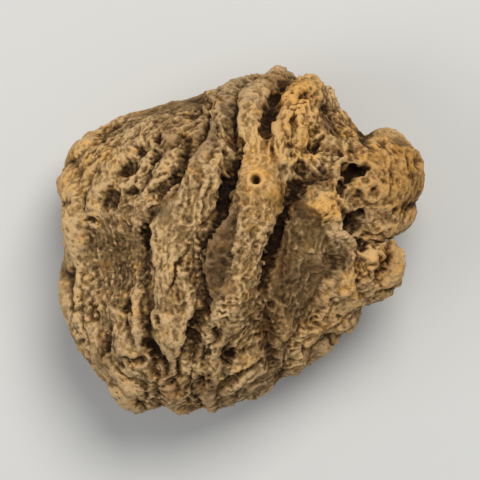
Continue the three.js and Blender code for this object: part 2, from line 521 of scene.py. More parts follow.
@dataclass(frozen=True)
class Skin:
    """A closed triangle mesh over the whole root, made from a split icosahedron."""

    rows: int = 99
    upper_bias: float = 0.38

    @cached_property
    def _split(self) -> tuple[Array, Array]:
        """Splits an icosahedron's sides and lays them on the unit sphere.

        Returns:
            The points, one a row, and the triangles by point numbers.
        """
        g = (1 + math.sqrt(5)) / 2
        corners = np.array([
            (-1, g, 0), (1, g, 0), (-1, -g, 0), (1, -g, 0), (0, -1, g), (0, 1, g),
            (0, -1, -g), (0, 1, -g), (g, 0, -1), (g, 0, 1), (-g, 0, -1), (-g, 0, 1),
        ])
        sides = np.array([
            (0, 11, 5), (0, 5, 1), (0, 1, 7), (0, 7, 10), (0, 10, 11), (1, 5, 9), (5, 11, 4),
            (11, 10, 2), (10, 7, 6), (7, 1, 8), (3, 9, 4), (3, 4, 2), (3, 2, 6), (3, 6, 8),
            (3, 8, 9), (4, 9, 5), (2, 4, 11), (6, 2, 10), (8, 6, 7), (9, 8, 1),
        ])
        n = self.rows
        grid = [(i, j) for i in range(n + 1) for j in range(n + 1 - i)]
        number = {place: k for k, place in enumerate(grid)}
        weights = np.array([(n - i - j, i, j) for i, j in grid]) / n
        small = [(number[i, j], number[i + 1, j], number[i, j + 1]) for i, j in grid if i + j < n]
        small += [
            (number[i + 1, j], number[i + 1, j + 1], number[i, j + 1]) for i, j in grid if i + j < n - 1
        ]
        points = np.concatenate([weights @ corners[side] for side in sides])
        points /= np.linalg.norm(points, axis=1, keepdims=True)
        faces = np.concatenate([np.array(small) + k * len(grid) for k in range(len(sides))])
        _, first, same = np.unique(points.round(6), axis=0, return_index=True, return_inverse=True)
        return points[first], same.reshape(-1)[faces]

    @property
    def faces(self) -> Array:
        """The triangles, one a row, turned to face out."""
        return self._split[1]

    @property
    def directions(self) -> Array:
        """Tips the sphere's points so that more of them lie on the upper side.

        Returns:
            One unit direction a row.
        """
        points = self._split[0]
        from_top = np.arccos(np.clip(points[:, 2], -1, 1))
        tipped = from_top - self.upper_bias * np.sin(from_top)
        flat = np.maximum(np.hypot(points[:, 0], points[:, 1]), TINY)
        spread = (np.sin(tipped) / flat)[:, None]
        return np.column_stack([points[:, :2] * spread, np.cos(tipped)])

    @cached_property
    def _neighbours(self) -> tuple[Array, Array, Array]:
        """Both ends of every edge, each triangle's own way round, and each point's count of them."""
        edges = np.concatenate([self.faces[:, [0, 1]], self.faces[:, [1, 2]], self.faces[:, [2, 0]]])
        return edges[:, 0], edges[:, 1], np.bincount(edges[:, 0]).astype(float)

    def relaxed(self, values: Array, rounds: int) -> Array:
        """Values or points averaged with their neighbours, over and over.

        Args:
            values: One number or one row of numbers for each point.
            rounds: How many times to average.

        Returns:
            The smoothed values, in the same form.
        """
        here, there, count = self._neighbours
        columns = values.reshape(len(values), -1).T.copy()
        for _ in range(rounds):
            for k, column in enumerate(columns):
                around = np.bincount(here, column[there], len(column)) / count
                columns[k] = 0.5 * (column + around)
        return columns.T.reshape(values.shape)

    def normals(self, points: Array) -> Array:
        """The normal at each point, from the triangles round it.

        Args:
            points: The mesh's points, one a row.

        Returns:
            One unit normal a row.
        """
        a, b, c = (points[self.faces[:, k]] for k in range(3))
        across = np.cross(b - a, c - a)
        total = np.stack([
            sum(np.bincount(self.faces[:, k], across[:, axis], len(points)) for k in range(3))
            for axis in range(3)
        ], axis=1)
        return total / np.maximum(np.linalg.norm(total, axis=1, keepdims=True), TINY)


@dataclass(frozen=True)
class MainForm:
    """The large folds, furrows, knobs and hollows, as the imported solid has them."""

    folds: tuple[Fold, ...] = (
        # the left flank's rim, from the shoulder down to the tail
        Fold((1.4, 1.9, 1.6), 1.3, ((-7.2, 17.0), (-11.8, 15.4), (-16.4, 12.8), (-19.6, 9.4),
             (-21.0, 4.6),
             (-21.1, -0.6), (-20.4, -5.6), (-19.6, -9.6), (-18.2, -13.6), (-15.8, -17.2), (-12.0, -20.6),
             (-8.0, -24.0))),
        # shoulder folds that follow the rim
        Fold((1.0, 1.4, 1.0), 0.6, ((-19.2, 5.4), (-17.2, 9.8), (-14.6, 12.3), (-11.5, 14.0),
             (-8.3, 14.8))),
        Fold((1.0, 1.4, 1.0), 0.55, ((-18.2, 0.8), (-17.1, 5.0), (-15.2, 8.8), (-12.6, 10.8),
             (-9.0, 12.8))),
        Fold((1.0, 1.5, 1.2), 0.6, ((-13.2, -0.4), (-12.2, 2.4), (-11.0, 4.6), (-9.1, 7.6), (-7.4, 10.3),
             (-6.8, 12.6))),
        # lower flank folds, towards the tail
        Fold((1.0, 1.3, 1.0), 0.8, ((-18.2, -8.0), (-17.2, -12.2), (-15.0, -15.8), (-12.2, -18.4))),
        Fold((1.0, 1.3, 1.0), 0.8, ((-15.0, -8.8), (-14.2, -12.0), (-12.6, -15.0), (-10.6, -17.6))),
        Fold((0.9, 1.3, 0.9), 0.6, ((-12.9, -4.4), (-12.9, -7.2), (-12.6, -9.8), (-11.7, -12.6))),
        # the broad left fold, from the crown to the tail
        Fold((1.6, 3.2, 1.6), 1.5, ((5.0, 24.0), (2.6, 20.6), (-0.6, 18.0), (-2.2, 15.4), (-3.1, 12.4),
             (-3.8, 9.3), (-5.2, 5.9), (-7.2, 2.8), (-8.6, -0.2), (-8.7, -3.4), (-8.4, -6.8), (-8.8, -10.0),
             (-8.5, -13.2), (-7.8, -16.2), (-6.9, -20.0), (-6.2, -26.0))),
        # the high middle fold
        Fold((1.4, 3.0, 1.4), 1.6, ((6.6, 24.0), (4.8, 20.2), (3.2, 18.8), (1.8, 17.2), (1.3, 15.2),
             (1.5, 12.6), (2.0, 9.2), (1.9, 6.2), (1.5, 2.8), (1.0, -0.6), (0.0, -3.8), (-1.3, -6.8),
             (-2.0, -9.4), (-3.0, -12.4), (-4.0, -15.4), (-4.8, -19.0), (-5.2, -24.5))),
        # the slope on the middle fold's left
        Fold((1.4, 2.8, 2.0), 1.3, ((-0.2, 4.2), (-1.8, 1.4), (-3.0, -1.8), (-3.4, -4.4), (-3.4, -7.6))),
        # crown folds
        Fold((1.2, 1.5, 1.2), 1.4, ((5.6, 15.4), (4.6, 12.8), (4.4, 10.2), (5.0, 8.0))),
        Fold((1.2, 1.4, 1.2), 1.2, ((7.8, 15.6), (7.2, 13.2), (6.8, 10.6))),
        Fold((1.2, 1.5, 1.2), 1.3, ((7.2, 23.5), (7.4, 20.2), (9.9, 19.0), (11.2, 17.0), (12.5, 15.0),
             (14.4, 13.0))),
        Fold((1.1, 1.4, 1.1), 1.0, ((9.2, 14.4), (9.6, 12.2), (11.6, 10.8), (14.0, 11.0))),
        # the curl that borders the sunken cheek on the right
        Fold((1.2, 1.6, 1.3), 1.5, ((10.8, 3.4), (11.4, 0.6), (12.6, -1.8), (12.6, -4.2), (11.5, -6.4),
             (9.9, -8.6), (7.2, -11.0))),
        # the lower right rim
        Fold((1.3, 1.9, 1.4), 1.2, ((16.4, -8.0), (12.6, -10.2), (9.6, -12.4), (7.0, -14.2), (4.2, -16.8),
             (0.4, -19.6), (-2.4, -24.5))),
        # slanting folds by the tail
        Fold((1.0, 1.3, 1.0), 0.9, ((-2.8, -16.4), (0.0, -14.8), (2.6, -13.2))),
        Fold((1.0, 1.3, 1.0), 0.9, ((-2.2, -19.0), (0.8, -16.8), (3.4, -14.8))),
        Fold((1.0, 1.4, 1.0), 0.3, ((4.2, -8.6), (5.0, -10.8), (6.6, -12.4))),
    )
    lumps: tuple[Lump, ...] = (
        Lump((17.4, 8.2), (4.4, 4.2), 1.6),  # the round knob at the right
        Lump((16.4, -4.6), (2.8, 3.0), 1.4),  # the small knob under it
        Lump((6.8, 16.4), (1.9, 2.4), 1.5, turn=-30),  # the bright knob at the crown
        Lump((10.0, 3.7), (1.8, 1.7), 1.8),  # the knob over the cheek
        Lump((5.0, -3.2), (1.4, 5.6), -0.9, turn=-8),  # the cheek's edge along the furrow
        Lump((6.9, 3.8), (1.3, 2.4), -1.1),  # the cheek's top, beside that knob
        Lump((8.6, -3.2), (4.3, 6.2), -1.9, turn=-8),  # the sunken cheek
        Lump((-15.9, -3.2), (3.2, 7.4), -1.2, turn=4),  # the flank's shallow dish
        Lump((9.8, 15.9), (1.0, 2.0), -1.2, turn=27),  # the dark pocket at the crown
        Lump((-4.6, -13.4), (1.6, 2.6), -0.8, turn=10),  # the pocket over the tail
        pit((12.6, 7.9), (0.95, 0.65), 1.7),  # the upper rotted hole
        pit((13.1, 2.0), (0.9, 1.1), 1.5),  # the lower rotted hole
    )
    furrows: tuple[Furrow, ...] = (
        Furrow(1.2, 0.9, ((-6.2, 8.8), (-7.9, 6.8), (-10.2, 3.4), (-11.6, 0.6), (-12.0, -3.0),
               (-11.8, -6.6),
               (-11.4, -10.0), (-10.4, -13.4), (-8.8, -17.2))),
        Furrow(0.85, 1.2, ((1.8, 19.2), (-0.1, 17.0), (-0.6, 14.0), (-0.8, 10.6), (-1.2, 7.6),
               (-2.4, 4.0),
               (-3.6, 0.8), (-4.6, -2.4))),
        Furrow(0.7, 0.5, ((-4.6, -8.0), (-5.4, -10.6), (-6.1, -12.8), (-6.8, -15.6))),
        Furrow(1.1, 1.2, ((9.0, 8.8), (7.2, 7.6), (5.6, 5.8), (4.8, 2.8), (4.2, -0.4), (3.4, -3.6),
               (2.6, -7.0), (1.6, -10.2), (0.8, -12.6))),
        Furrow(1.4, 1.3, ((6.2, 19.8), (4.5, 18.0), (3.5, 15.6), (3.2, 13.2))),
        Furrow(1.6, 1.2, ((20.5, 0.6), (17.4, 0.6), (15.2, 0.2), (13.4, 1.4))),
        Furrow(1.1, 0.6, ((16.0, 15.5), (14.9, 13.4), (14.2, 11.4), (13.4, 9.0))),
        Furrow(1.5, 1.0, ((-4.6, -16.4), (-5.6, -20.2), (-5.8, -23.0))),
    )
    swellings: tuple[tuple[float, float, float, float, float], ...] = (
        (0.31, 0.12, 0.2, 0.4, 0.35),
        (-0.14, 0.36, 0.17, 1.9, 0.35),
        (0.22, -0.27, 0.41, 3.3, 0.3),
        (0.62, 0.31, -0.28, 5.1, 0.2),
        (-0.45, 0.68, 0.33, 2.4, 0.2),
    )
    blend_power: float = 4.0
    under_folds: int = 11
    under_halves: Triple = (1.3, 2.8, 1.3)
    under_rise: float = 1.6
    under_reach: Point = (-21.5, 18.5)
    under_stops: tuple[float, ...] = (0, 0.2, 0.4, 0.6, 0.8, 1)
    under_bow: float = 0.7
    under_wander: float = 1.0
    under_waves: Point = (7, 2.3)
    tail: Point = (-5.4, -19.6)
    crown: Point = (5.0, 19.6)

    def _under_fold(self, index: int) -> Fold:
        """One of the underside's folds, which all run from the tail to the crown.

        Args:
            index: Its number, counted from the left.

        Returns:
            The fold.
        """
        turn = math.pi * (index + 0.5) / self.under_folds
        low, high = self.under_reach
        middle = low + (high - low) * (1 - math.cos(turn)) / 2
        sway, apart = self.under_waves
        path = []
        for t in self.under_stops:
            bow = math.sin(math.pi * t) ** self.under_bow if 0 < t < 1 else 0.0
            stray = self.under_wander * bow * math.sin(sway * t + apart * index)
            x = (self.tail[0] * (1 - t) + self.crown[0] * t) * (1 - bow) + middle * bow + stray
            path.append((x, self.tail[1] * (1 - t) + self.crown[1] * t))
        return Fold(self.under_halves, self.under_rise, tuple(path), Side.UNDER)

    def height(self, body: PlainBody, places: Array, steady: Array) -> Array:
        """How far the bark stands out of the plain body.

        Args:
            body: The plain body.
            places: The places to look up, one a row, with any drift.
            steady: The same places without the drift, for the slow swellings.

        Returns:
            One height for each place.
        """
        folds = self.folds + tuple(self._under_fold(i) for i in range(self.under_folds))
        raised = sum(fold.height(body, places) ** self.blend_power for fold in folds)
        height = raised ** (1 / self.blend_power)
        for form in self.lumps + self.furrows:
            height += form.height(body, places)
        for x, y, z, phase, swell in self.swellings:
            height += swell * np.sin(steady @ (x, y, z) + phase)
        return height


@dataclass(frozen=True)
class FineForm:
    """Small folds, cracks, curls and pits of the bark, too fine for the solid."""

    strength: float = 0.8
    full_crack: float = 1.0
    pit_share: float = 0.55
    folds: tuple[Fold, ...] = (
        # wavy ridges over the left shoulder
        Fold((0.4, 0.7, 0.5), 0.55, ((-15.9, 9.4), (-14.5, 10.4), (-13.3, 10.8), (-11.7, 11.9),
             (-10.8, 12.8),
             (-9.2, 13.0))),
        Fold((0.4, 0.6, 0.4), 0.5, ((-19.4, 8.6), (-18.0, 9.8), (-17.1, 10.5), (-16.5, 11.8),
             (-15.0, 12.5))),
        Fold((0.5, 0.8, 0.5), 0.6, ((-10.6, 7.2), (-9.0, 8.2), (-7.4, 8.9))),
        Fold((0.4, 0.6, 0.4), 0.5, ((-11.9, 4.8), (-11.0, 5.9), (-10.0, 6.5), (-8.6, 7.1))),
        Fold((0.3, 0.4, 0.3), 0.6, ((-12.2, 3.5), (-10.6, 4.1), (-8.8, 5.1), (-7.0, 6.1))),
        Fold((0.4, 0.6, 0.4), 0.5, ((-14.7, 6.4), (-13.3, 6.5), (-12.0, 8.2), (-10.9, 9.4))),
        Fold((0.4, 0.6, 0.4), 0.45, ((-17.3, 6.2), (-17.4, 4.2), (-16.5, 3.0), (-15.4, 3.4))),
        Fold((0.4, 0.6, 0.4), 0.45, ((-13.8, 3.8), (-12.6, 4.3), (-11.6, 5.2))),
        # the pale fold that borders the crack on its left
        Fold((0.4, 0.7, 0.5), 0.4, ((-11.1, -3.5), (-12.3, -5.2), (-13.0, -7.2), (-12.7, -9.4),
             (-12.3, -12.4),
             (-10.8, -14.9))),
        # the pale ridge down the left edge
        Fold((0.4, 0.65, 0.4), 0.8, ((-19.2, 3.0), (-19.4, -1.0), (-19.3, -5.0), (-18.9, -9.0),
             (-18.0, -12.0),
             (-16.4, -15.0), (-14.3, -17.8), (-12.5, -19.6))),
        # ridges of the tail's left lobe
        Fold((0.5, 0.8, 0.5), 0.6, ((-14.6, -14.9), (-13.2, -15.7), (-11.8, -16.6))),
        Fold((0.4, 0.6, 0.4), 0.5, ((-18.6, -10.4), (-17.4, -13.2), (-16.2, -15.4), (-14.8, -17.4))),
        # the thin rim of the crown's pocket
        Fold((0.35, 0.5, 0.4), 0.8, ((8.6, 19.4), (9.8, 18.2), (10.8, 16.6), (11.7, 15.0), (13.0, 13.8))),
        # the crown knob's peak and the rim of its pit
        Fold((0.3, 0.5, 0.3), 0.6, ((5.2, 17.4), (6.2, 17.8), (7.4, 18.6), (8.0, 17.6),
             (8.3, 16.6), (8.1, 15.2))),
        Fold((0.25, 0.4, 0.25), 0.6, ((4.6, 15.0), (5.4, 15.4), (6.4, 15.0), (7.4, 15.0))),
        # upright stripes of the crown's lumps
        Fold((0.3, 0.45, 0.3), 0.8, ((4.5, 14.2), (4.3, 12.6), (4.5, 10.8))),
        Fold((0.3, 0.45, 0.3), 0.8, ((5.7, 14.6), (5.5, 12.9), (5.7, 11.0))),
        Fold((0.3, 0.45, 0.3), 0.8, ((7.0, 15.0), (6.8, 13.4), (7.0, 11.6))),
        Fold((0.3, 0.45, 0.3), 0.7, ((8.6, 14.8), (8.4, 13.2), (8.8, 12.0))),
        # flakes over the dark channel
        Fold((0.3, 0.4, 0.2), 0.6, ((8.1, 9.9), (8.8, 9.2), (9.4, 8.4))),
        Fold((0.3, 0.4, 0.2), 0.6, ((9.8, 9.6), (10.6, 9.3), (11.3, 9.6))),
        Fold((0.3, 0.5, 0.3), 0.6, ((10.0, 7.6), (11.2, 8.4), (12.0, 9.6), (12.3, 10.6))),
        Fold((0.3, 0.4, 0.3), 0.5, ((10.9, 6.1), (11.2, 7.0), (12.0, 7.6))),
        # the ridge that runs round the lower rotted hole
        Fold((0.4, 0.6, 0.4), 0.7, ((11.0, 3.4), (11.4, 1.6), (12.0, 0.4), (12.9, -0.3),
             (13.8, 0.6), (14.4, 1.2))),
        Fold((0.4, 0.6, 0.4), 0.7, ((12.4, -0.4), (14.1, -2.0), (15.6, -2.2), (16.5, -1.3),
             (16.2, -0.3))),
        # slanting ridges to the right of the cheek
        Fold((0.3, 0.5, 0.3), 0.6, ((13.7, -3.2), (12.9, -5.2), (11.9, -6.6), (11.5, -8.2))),
        Fold((0.3, 0.5, 0.3), 0.5, ((11.4, -5.0), (10.5, -6.2), (9.8, -7.2))),
        Fold((0.3, 0.5, 0.3), 0.5, ((10.6, -8.2), (9.4, -9.4), (8.2, -10.2))),
        # faint streaks down the cheek
        Fold((0.25, 0.35, 0.25), 0.3, ((6.4, 1.6), (6.1, -1.6), (5.4, -5.6))),
        Fold((0.25, 0.35, 0.25), 0.3, ((7.7, -1.4), (7.4, -4.2), (6.8, -7.4))),
        Fold((0.25, 0.35, 0.25), 0.3, ((8.9, -3.8), (8.5, -6.0), (8.2, -8.6))),
        Fold((0.25, 0.35, 0.25), 0.3, ((10.4, 0.8), (11.3, -1.4), (11.4, -3.6))),
        Fold((0.25, 0.35, 0.25), 0.35, ((6.6, -6.8), (6.8, -8.8), (7.4, -10.4))),
        # the outer rim of the small knob
        Fold((0.4, 0.6, 0.4), 0.8, ((15.0, -1.4), (15.9, -2.2), (16.6, -3.5), (16.6, -4.8),
             (15.9, -5.8))),
        # the thin ledge of the lower right rim
        Fold((0.4, 0.7, 0.5), 0.8, ((15.2, -8.2), (13.6, -9.3), (12.0, -10.3), (10.4, -11.3),
             (8.9, -12.4),
             (7.2, -13.8), (5.6, -15.0), (4.2, -16.4))),
        Fold((0.3, 0.5, 0.4), 0.5, ((5.0, -14.4), (6.1, -12.4), (7.4, -11.2), (9.0, -10.6))),
        Fold((0.3, 0.5, 0.3), 0.6, ((14.4, -10.4), (12.2, -12.0), (10.0, -13.4), (8.2, -14.8))),
        # slanting ridges by the tail
        Fold((0.3, 0.5, 0.3), 0.55, ((-2.6, -16.8), (-0.8, -15.5), (1.2, -14.6), (2.6, -13.6))),
        Fold((0.3, 0.5, 0.3), 0.55, ((-1.5, -18.7), (-0.05, -17.0), (1.2, -16.0), (2.6, -15.0))),
        Fold((0.3, 0.5, 0.3), 0.5, ((-0.2, -19.6), (1.4, -17.7), (3.2, -16.9))),
        Fold((0.2, 0.4, 0.2), 0.6, ((-4.3, -11.8), (-4.5, -12.8), (-4.2, -13.8))),
        Fold((0.2, 0.4, 0.2), 0.5, ((-3.7, -13.6), (-3.5, -14.6), (-3.2, -15.4))),
        # short ridges across the middle fold's lower end
        Fold((0.3, 0.35, 0.3), 0.4, ((-3.4, -7.3), (-2.0, -7.0), (-0.4, -7.4))),
        Fold((0.3, 0.35, 0.3), 0.4, ((-3.7, -8.1), (-2.2, -7.8), (-0.5, -8.2))),
        Fold((0.3, 0.35, 0.3), 0.4, ((-3.6, -8.9), (-2.2, -8.6), (-0.7, -9.0))),
        # stripes along the middle and left folds
        Fold((0.4, 0.6, 0.4), 0.4, ((0.7, 18.2), (0.5, 15.6), (0.5, 13.0), (0.3, 10.4))),
        Fold((0.4, 0.6, 0.4), 0.4, ((2.4, 4.8), (2.4, 1.8), (2.0, -1.4), (1.2, -4.6))),
        Fold((0.4, 0.6, 0.4), 0.35, ((0.2, 4.6), (-0.2, 1.6), (-0.4, -1.4), (-1.2, -4.4))),
        Fold((0.4, 0.5, 0.4), 0.7, ((-1.8, 13.5), (-2.3, 10.7), (-3.2, 7.6), (-3.9, 6.0), (-4.6, 4.6),
             (-4.9, 2.8), (-5.2, 0.6))),
        Fold((0.4, 0.5, 0.4), 0.45, ((-4.2, 15.0), (-4.5, 12.4), (-5.0, 10.3), (-5.9, 7.1), (-6.8, 5.0),
             (-7.4, 3.2), (-7.8, 1.2))),
        Fold((0.4, 0.7, 0.4), 0.4, ((-9.9, 2.8), (-10.4, 0.2), (-10.1, -2.6), (-10.2, -5.4))),
        Fold((0.4, 0.6, 0.4), 0.4, ((-5.6, -3.0), (-5.8, -5.8), (-6.4, -8.6), (-6.9, -11.4))),
    )
    furrows: tuple[Furrow, ...] = (
        # the deep, narrow bottoms of the two great furrows
        Furrow(0.5, 1.6, ((0.3, 12.0), (-0.3, 9.4), (-1.2, 7.3), (-1.8, 5.4), (-2.2, 3.2), (-3.3, 0.9),
               (-4.4, -0.7), (-4.9, -3.2))),
        Furrow(0.42, 1.2, ((-4.8, -1.8), (-4.9, -4.8), (-4.5, -7.1), (-4.8, -8.4), (-5.5, -9.7),
               (-6.5, -12.1),
               (-7.1, -14.0), (-7.6, -16.0), (-7.8, -17.6))),
        Furrow(0.6, 1.5, ((7.2, 6.9), (6.4, 5.4), (5.5, 3.2), (4.8, 0.8), (4.1, -1.7), (3.6, -4.0),
               (3.1, -6.4), (2.8, -8.6))),
        Furrow(0.8, 1.1, ((5.6, 5.8), (7.2, 6.6), (9.2, 7.2), (11.0, 7.8))),
        # the crack left of the left fold, and the dark cleft below it
        Furrow(0.32, 0.95, ((-10.2, -3.2), (-10.8, -5.5), (-11.1, -7.8), (-11.6, -9.7), (-11.8, -11.2))),
        Furrow(0.7, 1.2, ((-12.0, -11.6), (-10.8, -13.4), (-9.6, -14.9), (-8.8, -16.0))),
        # the crack across the left fold
        Furrow(0.3, 0.9, ((-6.0, -1.3), (-6.6, -2.4), (-7.3, -3.2), (-8.2, -5.4), (-9.1, -7.0))),
        # short cracks on the shoulder
        Furrow(0.32, 1.1, ((-8.6, 6.3), (-7.3, 7.3), (-6.0, 8.5))),
        Furrow(0.6, 0.5, ((-10.8, 4.8), (-9.6, 5.4), (-8.6, 6.4))),
        Furrow(0.45, 1.3, ((-2.6, 16.6), (-3.8, 13.7), (-4.8, 11.4), (-5.8, 9.4), (-6.9, 7.6),
               (-8.0, 6.0))),
        # gaps beside the small knob and over the lower right rim
        Furrow(0.5, 1.1, ((13.7, -2.2), (13.6, -4.0), (13.2, -6.2))),
        Furrow(0.35, 0.7, ((11.2, -6.8), (10.8, -7.6), (10.3, -8.2))),
        Furrow(0.4, 0.6, ((17.8, -2.4), (17.9, -3.8), (17.6, -5.0))),
        Furrow(0.5, 0.9, ((12.4, -8.8), (10.8, -10.0), (9.3, -11.0), (7.9, -12.2), (6.6, -13.2))),
        Furrow(0.4, 0.8, ((9.3, 11.9), (8.9, 10.8), (8.4, 10.0))),
        # lines over the small knob
        Furrow(0.25, 0.7, ((14.5, -1.0), (15.2, -1.7), (16.2, -1.9), (17.0, -1.5))),
        Furrow(0.25, 0.6, ((14.6, -2.8), (15.6, -2.6), (16.4, -3.0))),
        Furrow(0.25, 0.6, ((14.4, -4.2), (15.4, -4.0), (15.8, -4.8), (15.4, -5.6))),
        Furrow(0.25, 0.5, ((15.6, -1.0), (15.8, -2.2), (15.5, -3.4))),
        # lines down the lower right rim
        Furrow(0.3, 0.6, ((12.4, -9.8), (11.0, -10.9), (9.7, -11.8), (8.2, -13.0))),
        Furrow(0.25, 0.5, ((9.6, -10.9), (10.2, -11.8), (10.4, -12.8))),
        Furrow(0.25, 0.5, ((11.6, -9.6), (12.0, -10.4), (12.2, -11.2))),
        # gaps between the slanting ridges by the tail
        Furrow(0.32, 0.6, ((-2.2, -17.8), (-0.6, -16.4), (1.2, -15.3), (2.6, -14.3))),
        Furrow(0.32, 0.6, ((-1.0, -19.6), (0.6, -17.7), (2.4, -16.2))),
        Furrow(0.4, 0.9, ((-5.2, -18.2), (-4.9, -19.4), (-4.6, -20.6))),
    )
    curls: tuple[Curl, ...] = (
        Curl((-3.0, 14.4), 1.2, half=0.3, rise=0.35, pit=0.15),
        Curl((19.3, 8.5), 0.95, pit=0.4),
        Curl((14.9, 5.6), 0.8, half=0.3, rise=0.35, pit=0.1),
        Curl((-19.5, 4.2), 1.0, half=0.3, rise=0.25, pit=0.35),
        Curl((-10.0, -9.4), 0.8, half=0.3, rise=0.4, pit=0.2),
        Curl((-20.0, 0.4), 0.7, half=0.25, rise=0.2, pit=0.15),
        Curl((11.4, -9.0), 0.6, rise=0.25, pit=0.35),
        Curl((6.4, -6.4), 1.5, half=0.35, rise=0.12, pit=0.1),
        Curl((6.2, -6.1), 0.7, half=0.3, rise=0.1, pit=0.1),
        Curl((15.6, -3.6), 0.6, half=0.25, rise=0.35, pit=0.35),
        Curl((15.3, -6.0), 0.55, half=0.25, rise=0.3, pit=0.3),
        Curl((16.4, -1.9), 0.45, half=0.25, rise=0.3, pit=0.3),
        Curl((12.4, 12.2), 0.9, half=0.3, rise=0.4, pit=0.3),
        Curl((15.9, 10.6), 0.9, rise=0.25, pit=0.2),
        Curl((17.0, 4.2), 0.7, half=0.28, rise=0.3, pit=0.15),
        Curl((6.2, 9.6), 0.7, rise=0.3, pit=0.6),
        Curl((5.6, 16.4), 0.5, half=0.25, rise=0.3, pit=0.35),
        Curl((9.4, 4.4), 0.45, half=0.25, rise=0.2, pit=0.25),
        Curl((10.7, 3.8), 0.4, half=0.22, rise=0.2, pit=0.25),
        Curl((10.0, 2.7), 0.4, half=0.22, rise=0.15, pit=0.2),
    )
    clean_hole: Curl = Curl((1.6, 6.7), 0.78, half=0.2, rise=0.1, pit=1.9)
    lumps: tuple[Lump, ...] = (
        # rotted holes with ragged sides
        pit((12.0, 8.7), (0.45, 0.4), 1.2, 20),
        pit((13.6, 8.1), (0.8, 0.45), 1.5, -10),
        pit((12.1, 6.9), (0.6, 0.45), 1.0, 30),
        pit((11.6, 6.1), (0.4, 0.7), 1.0, -25),
        pit((13.7, 3.0), (0.6, 0.55), 1.3, 20),
        pit((12.5, 1.1), (0.55, 0.7), 0.9),
        pit((13.8, -0.9), (0.6, 0.7), 1.3),
        # pits of the left shoulder
        pit((-20.0, 8.1), (0.5, 1.1), 1.0, -25),
        pit((-17.6, 2.1), (0.6, 0.5), 0.9),
        pit((-13.6, 11.8), (1.0, 0.5), 0.8, 30),
        pit((-13.6, 8.3), (1.3, 0.8), 1.0, 35),
        pit((-15.4, 4.8), (0.9, 1.5), 1.0, -15),
        pit((-12.0, 10.2), (0.5, 0.7), 0.9),
        pit((-13.0, 5.6), (0.7, 0.5), 0.8),
        pit((-10.0, 5.2), (0.9, 0.7), 0.5, 30),
        pit((-18.2, 8.9), (0.5, 0.6), 0.7),
        pit((-9.8, 11.5), (0.6, 0.7), 0.9),
        pit((-10.1, 9.5), (0.5, 0.9), 0.9, -30),
        pit((-6.9, 11.0), (0.8, 1.2), 0.7, -20),
        pit((-11.6, 0.0), (0.9, 1.3), 1.0, -20),
        pit((-17.4, 9.7), (0.8, 0.5), 0.7, 40),
        Lump((-8.3, 11.3), (0.8, 0.6), 0.7),
        Lump((-1.4, 10.0), (0.5, 0.6), 0.6),
        Lump((-2.9, 6.0), (0.45, 0.8), 0.6),
        # pits and bumps of the dish and the left lobe
        pit((-17.7, -8.9), (0.45, 1.2), 0.8, 10),
        pit((-13.7, -8.1), (0.7, 0.9), 0.8),
        pit((-15.9, -12.7), (0.55, 1.5), 0.7, -12),
        pit((-12.9, -14.2), (1.3, 0.55), 0.8, -10),
        pit((-11.7, -19.2), (0.9, 0.8), 0.9),
        Lump((-15.1, -9.1), (0.8, 0.6), 0.6),
        Lump((-13.6, -17.8), (1.0, 1.0), 0.6),
        Lump((-9.4, -17.0), (0.9, 0.8), 0.6),
        Lump((-5.7, -15.4), (1.2, 1.0), 0.7),
        Lump((-8.5, -9.4), (0.7, 0.8), 0.45),
        # hollows by the tail, and in the furrow's lower end
        pit((-1.9, -13.8), (0.9, 1.2), 1.1),
        pit((-3.2, -10.9), (0.9, 1.2), 1.0, -10),
        pit((-4.4, -16.6), (0.9, 0.6), 0.8),
        pit((3.0, -11.0), (1.2, 2.8), 1.1, -8),
        pit((3.4, -14.4), (0.9, 1.4), 0.7),
        pit((6.8, -12.9), (0.5, 0.7), 0.5),
        # the valley left of the left fold's top
        pit((-5.7, 9.8), (0.9, 3.6), 0.8, -24),
        # crown pockets
        pit((7.0, 16.1), (0.75, 0.4), 1.0, -10),
        pit((9.6, 16.4), (0.6, 1.5), 0.7, 27),
        pit((3.1, 12.5), (0.6, 1.0), 0.7),
        pit((3.9, 20.0), (1.4, 0.6), 0.8, -10),
        pit((3.6, 17.0), (0.7, 0.9), 0.7),
        pit((5.8, 19.6), (1.1, 0.7), 1.0),
        pit((3.4, 14.0), (0.7, 1.9), 0.8, -10),
        pit((8.9, 10.8), (0.5, 0.9), 0.6, -30),
        pit((7.2, 8.2), (0.9, 0.8), 0.7),
        # specks on the cheek
        Lump((7.0, -1.0), (0.35, 0.3), 0.35),
        Lump((9.0, -1.6), (0.4, 0.4), 0.4),
        Lump((9.9, 1.5), (0.35, 0.4), 0.35),
        Lump((7.1, 1.6), (0.5, 0.35), 0.35),
        Lump((7.7, 0.1), (0.3, 0.3), 0.3),
        Lump((10.2, -2.6), (0.3, 0.3), 0.3),
        Lump((8.2, -6.2), (0.3, 0.4), 0.3),
        # the lower right rim, drawn in over the bulges of the underside
        pit((11.8, -11.0), (3.6, 1.2), 0.8, 38),
        # the cheek, which runs on to the right over its border
        Lump((11.6, -2.4), (1.3, 1.7), -0.8, turn=10, edge=3.0),
        # the edge under the small knob and to its right, drawn in
        Lump((16.5, -7.3), (2.2, 1.5), -1.3, turn=38, edge=3.0),
        Lump((18.2, -3.2), (1.3, 2.6), -1.5, edge=3.0),
        # the small knob's hollow side
        pit((15.8, -3.1), (0.55, 1.5), 0.8, -5),
        # the flat scar on the round knob
        pit((18.4, 11.3), (1.3, 1.0), 0.35),
        Lump((4.0, 5.0), (1.1, 1.8), 0.5),
    )

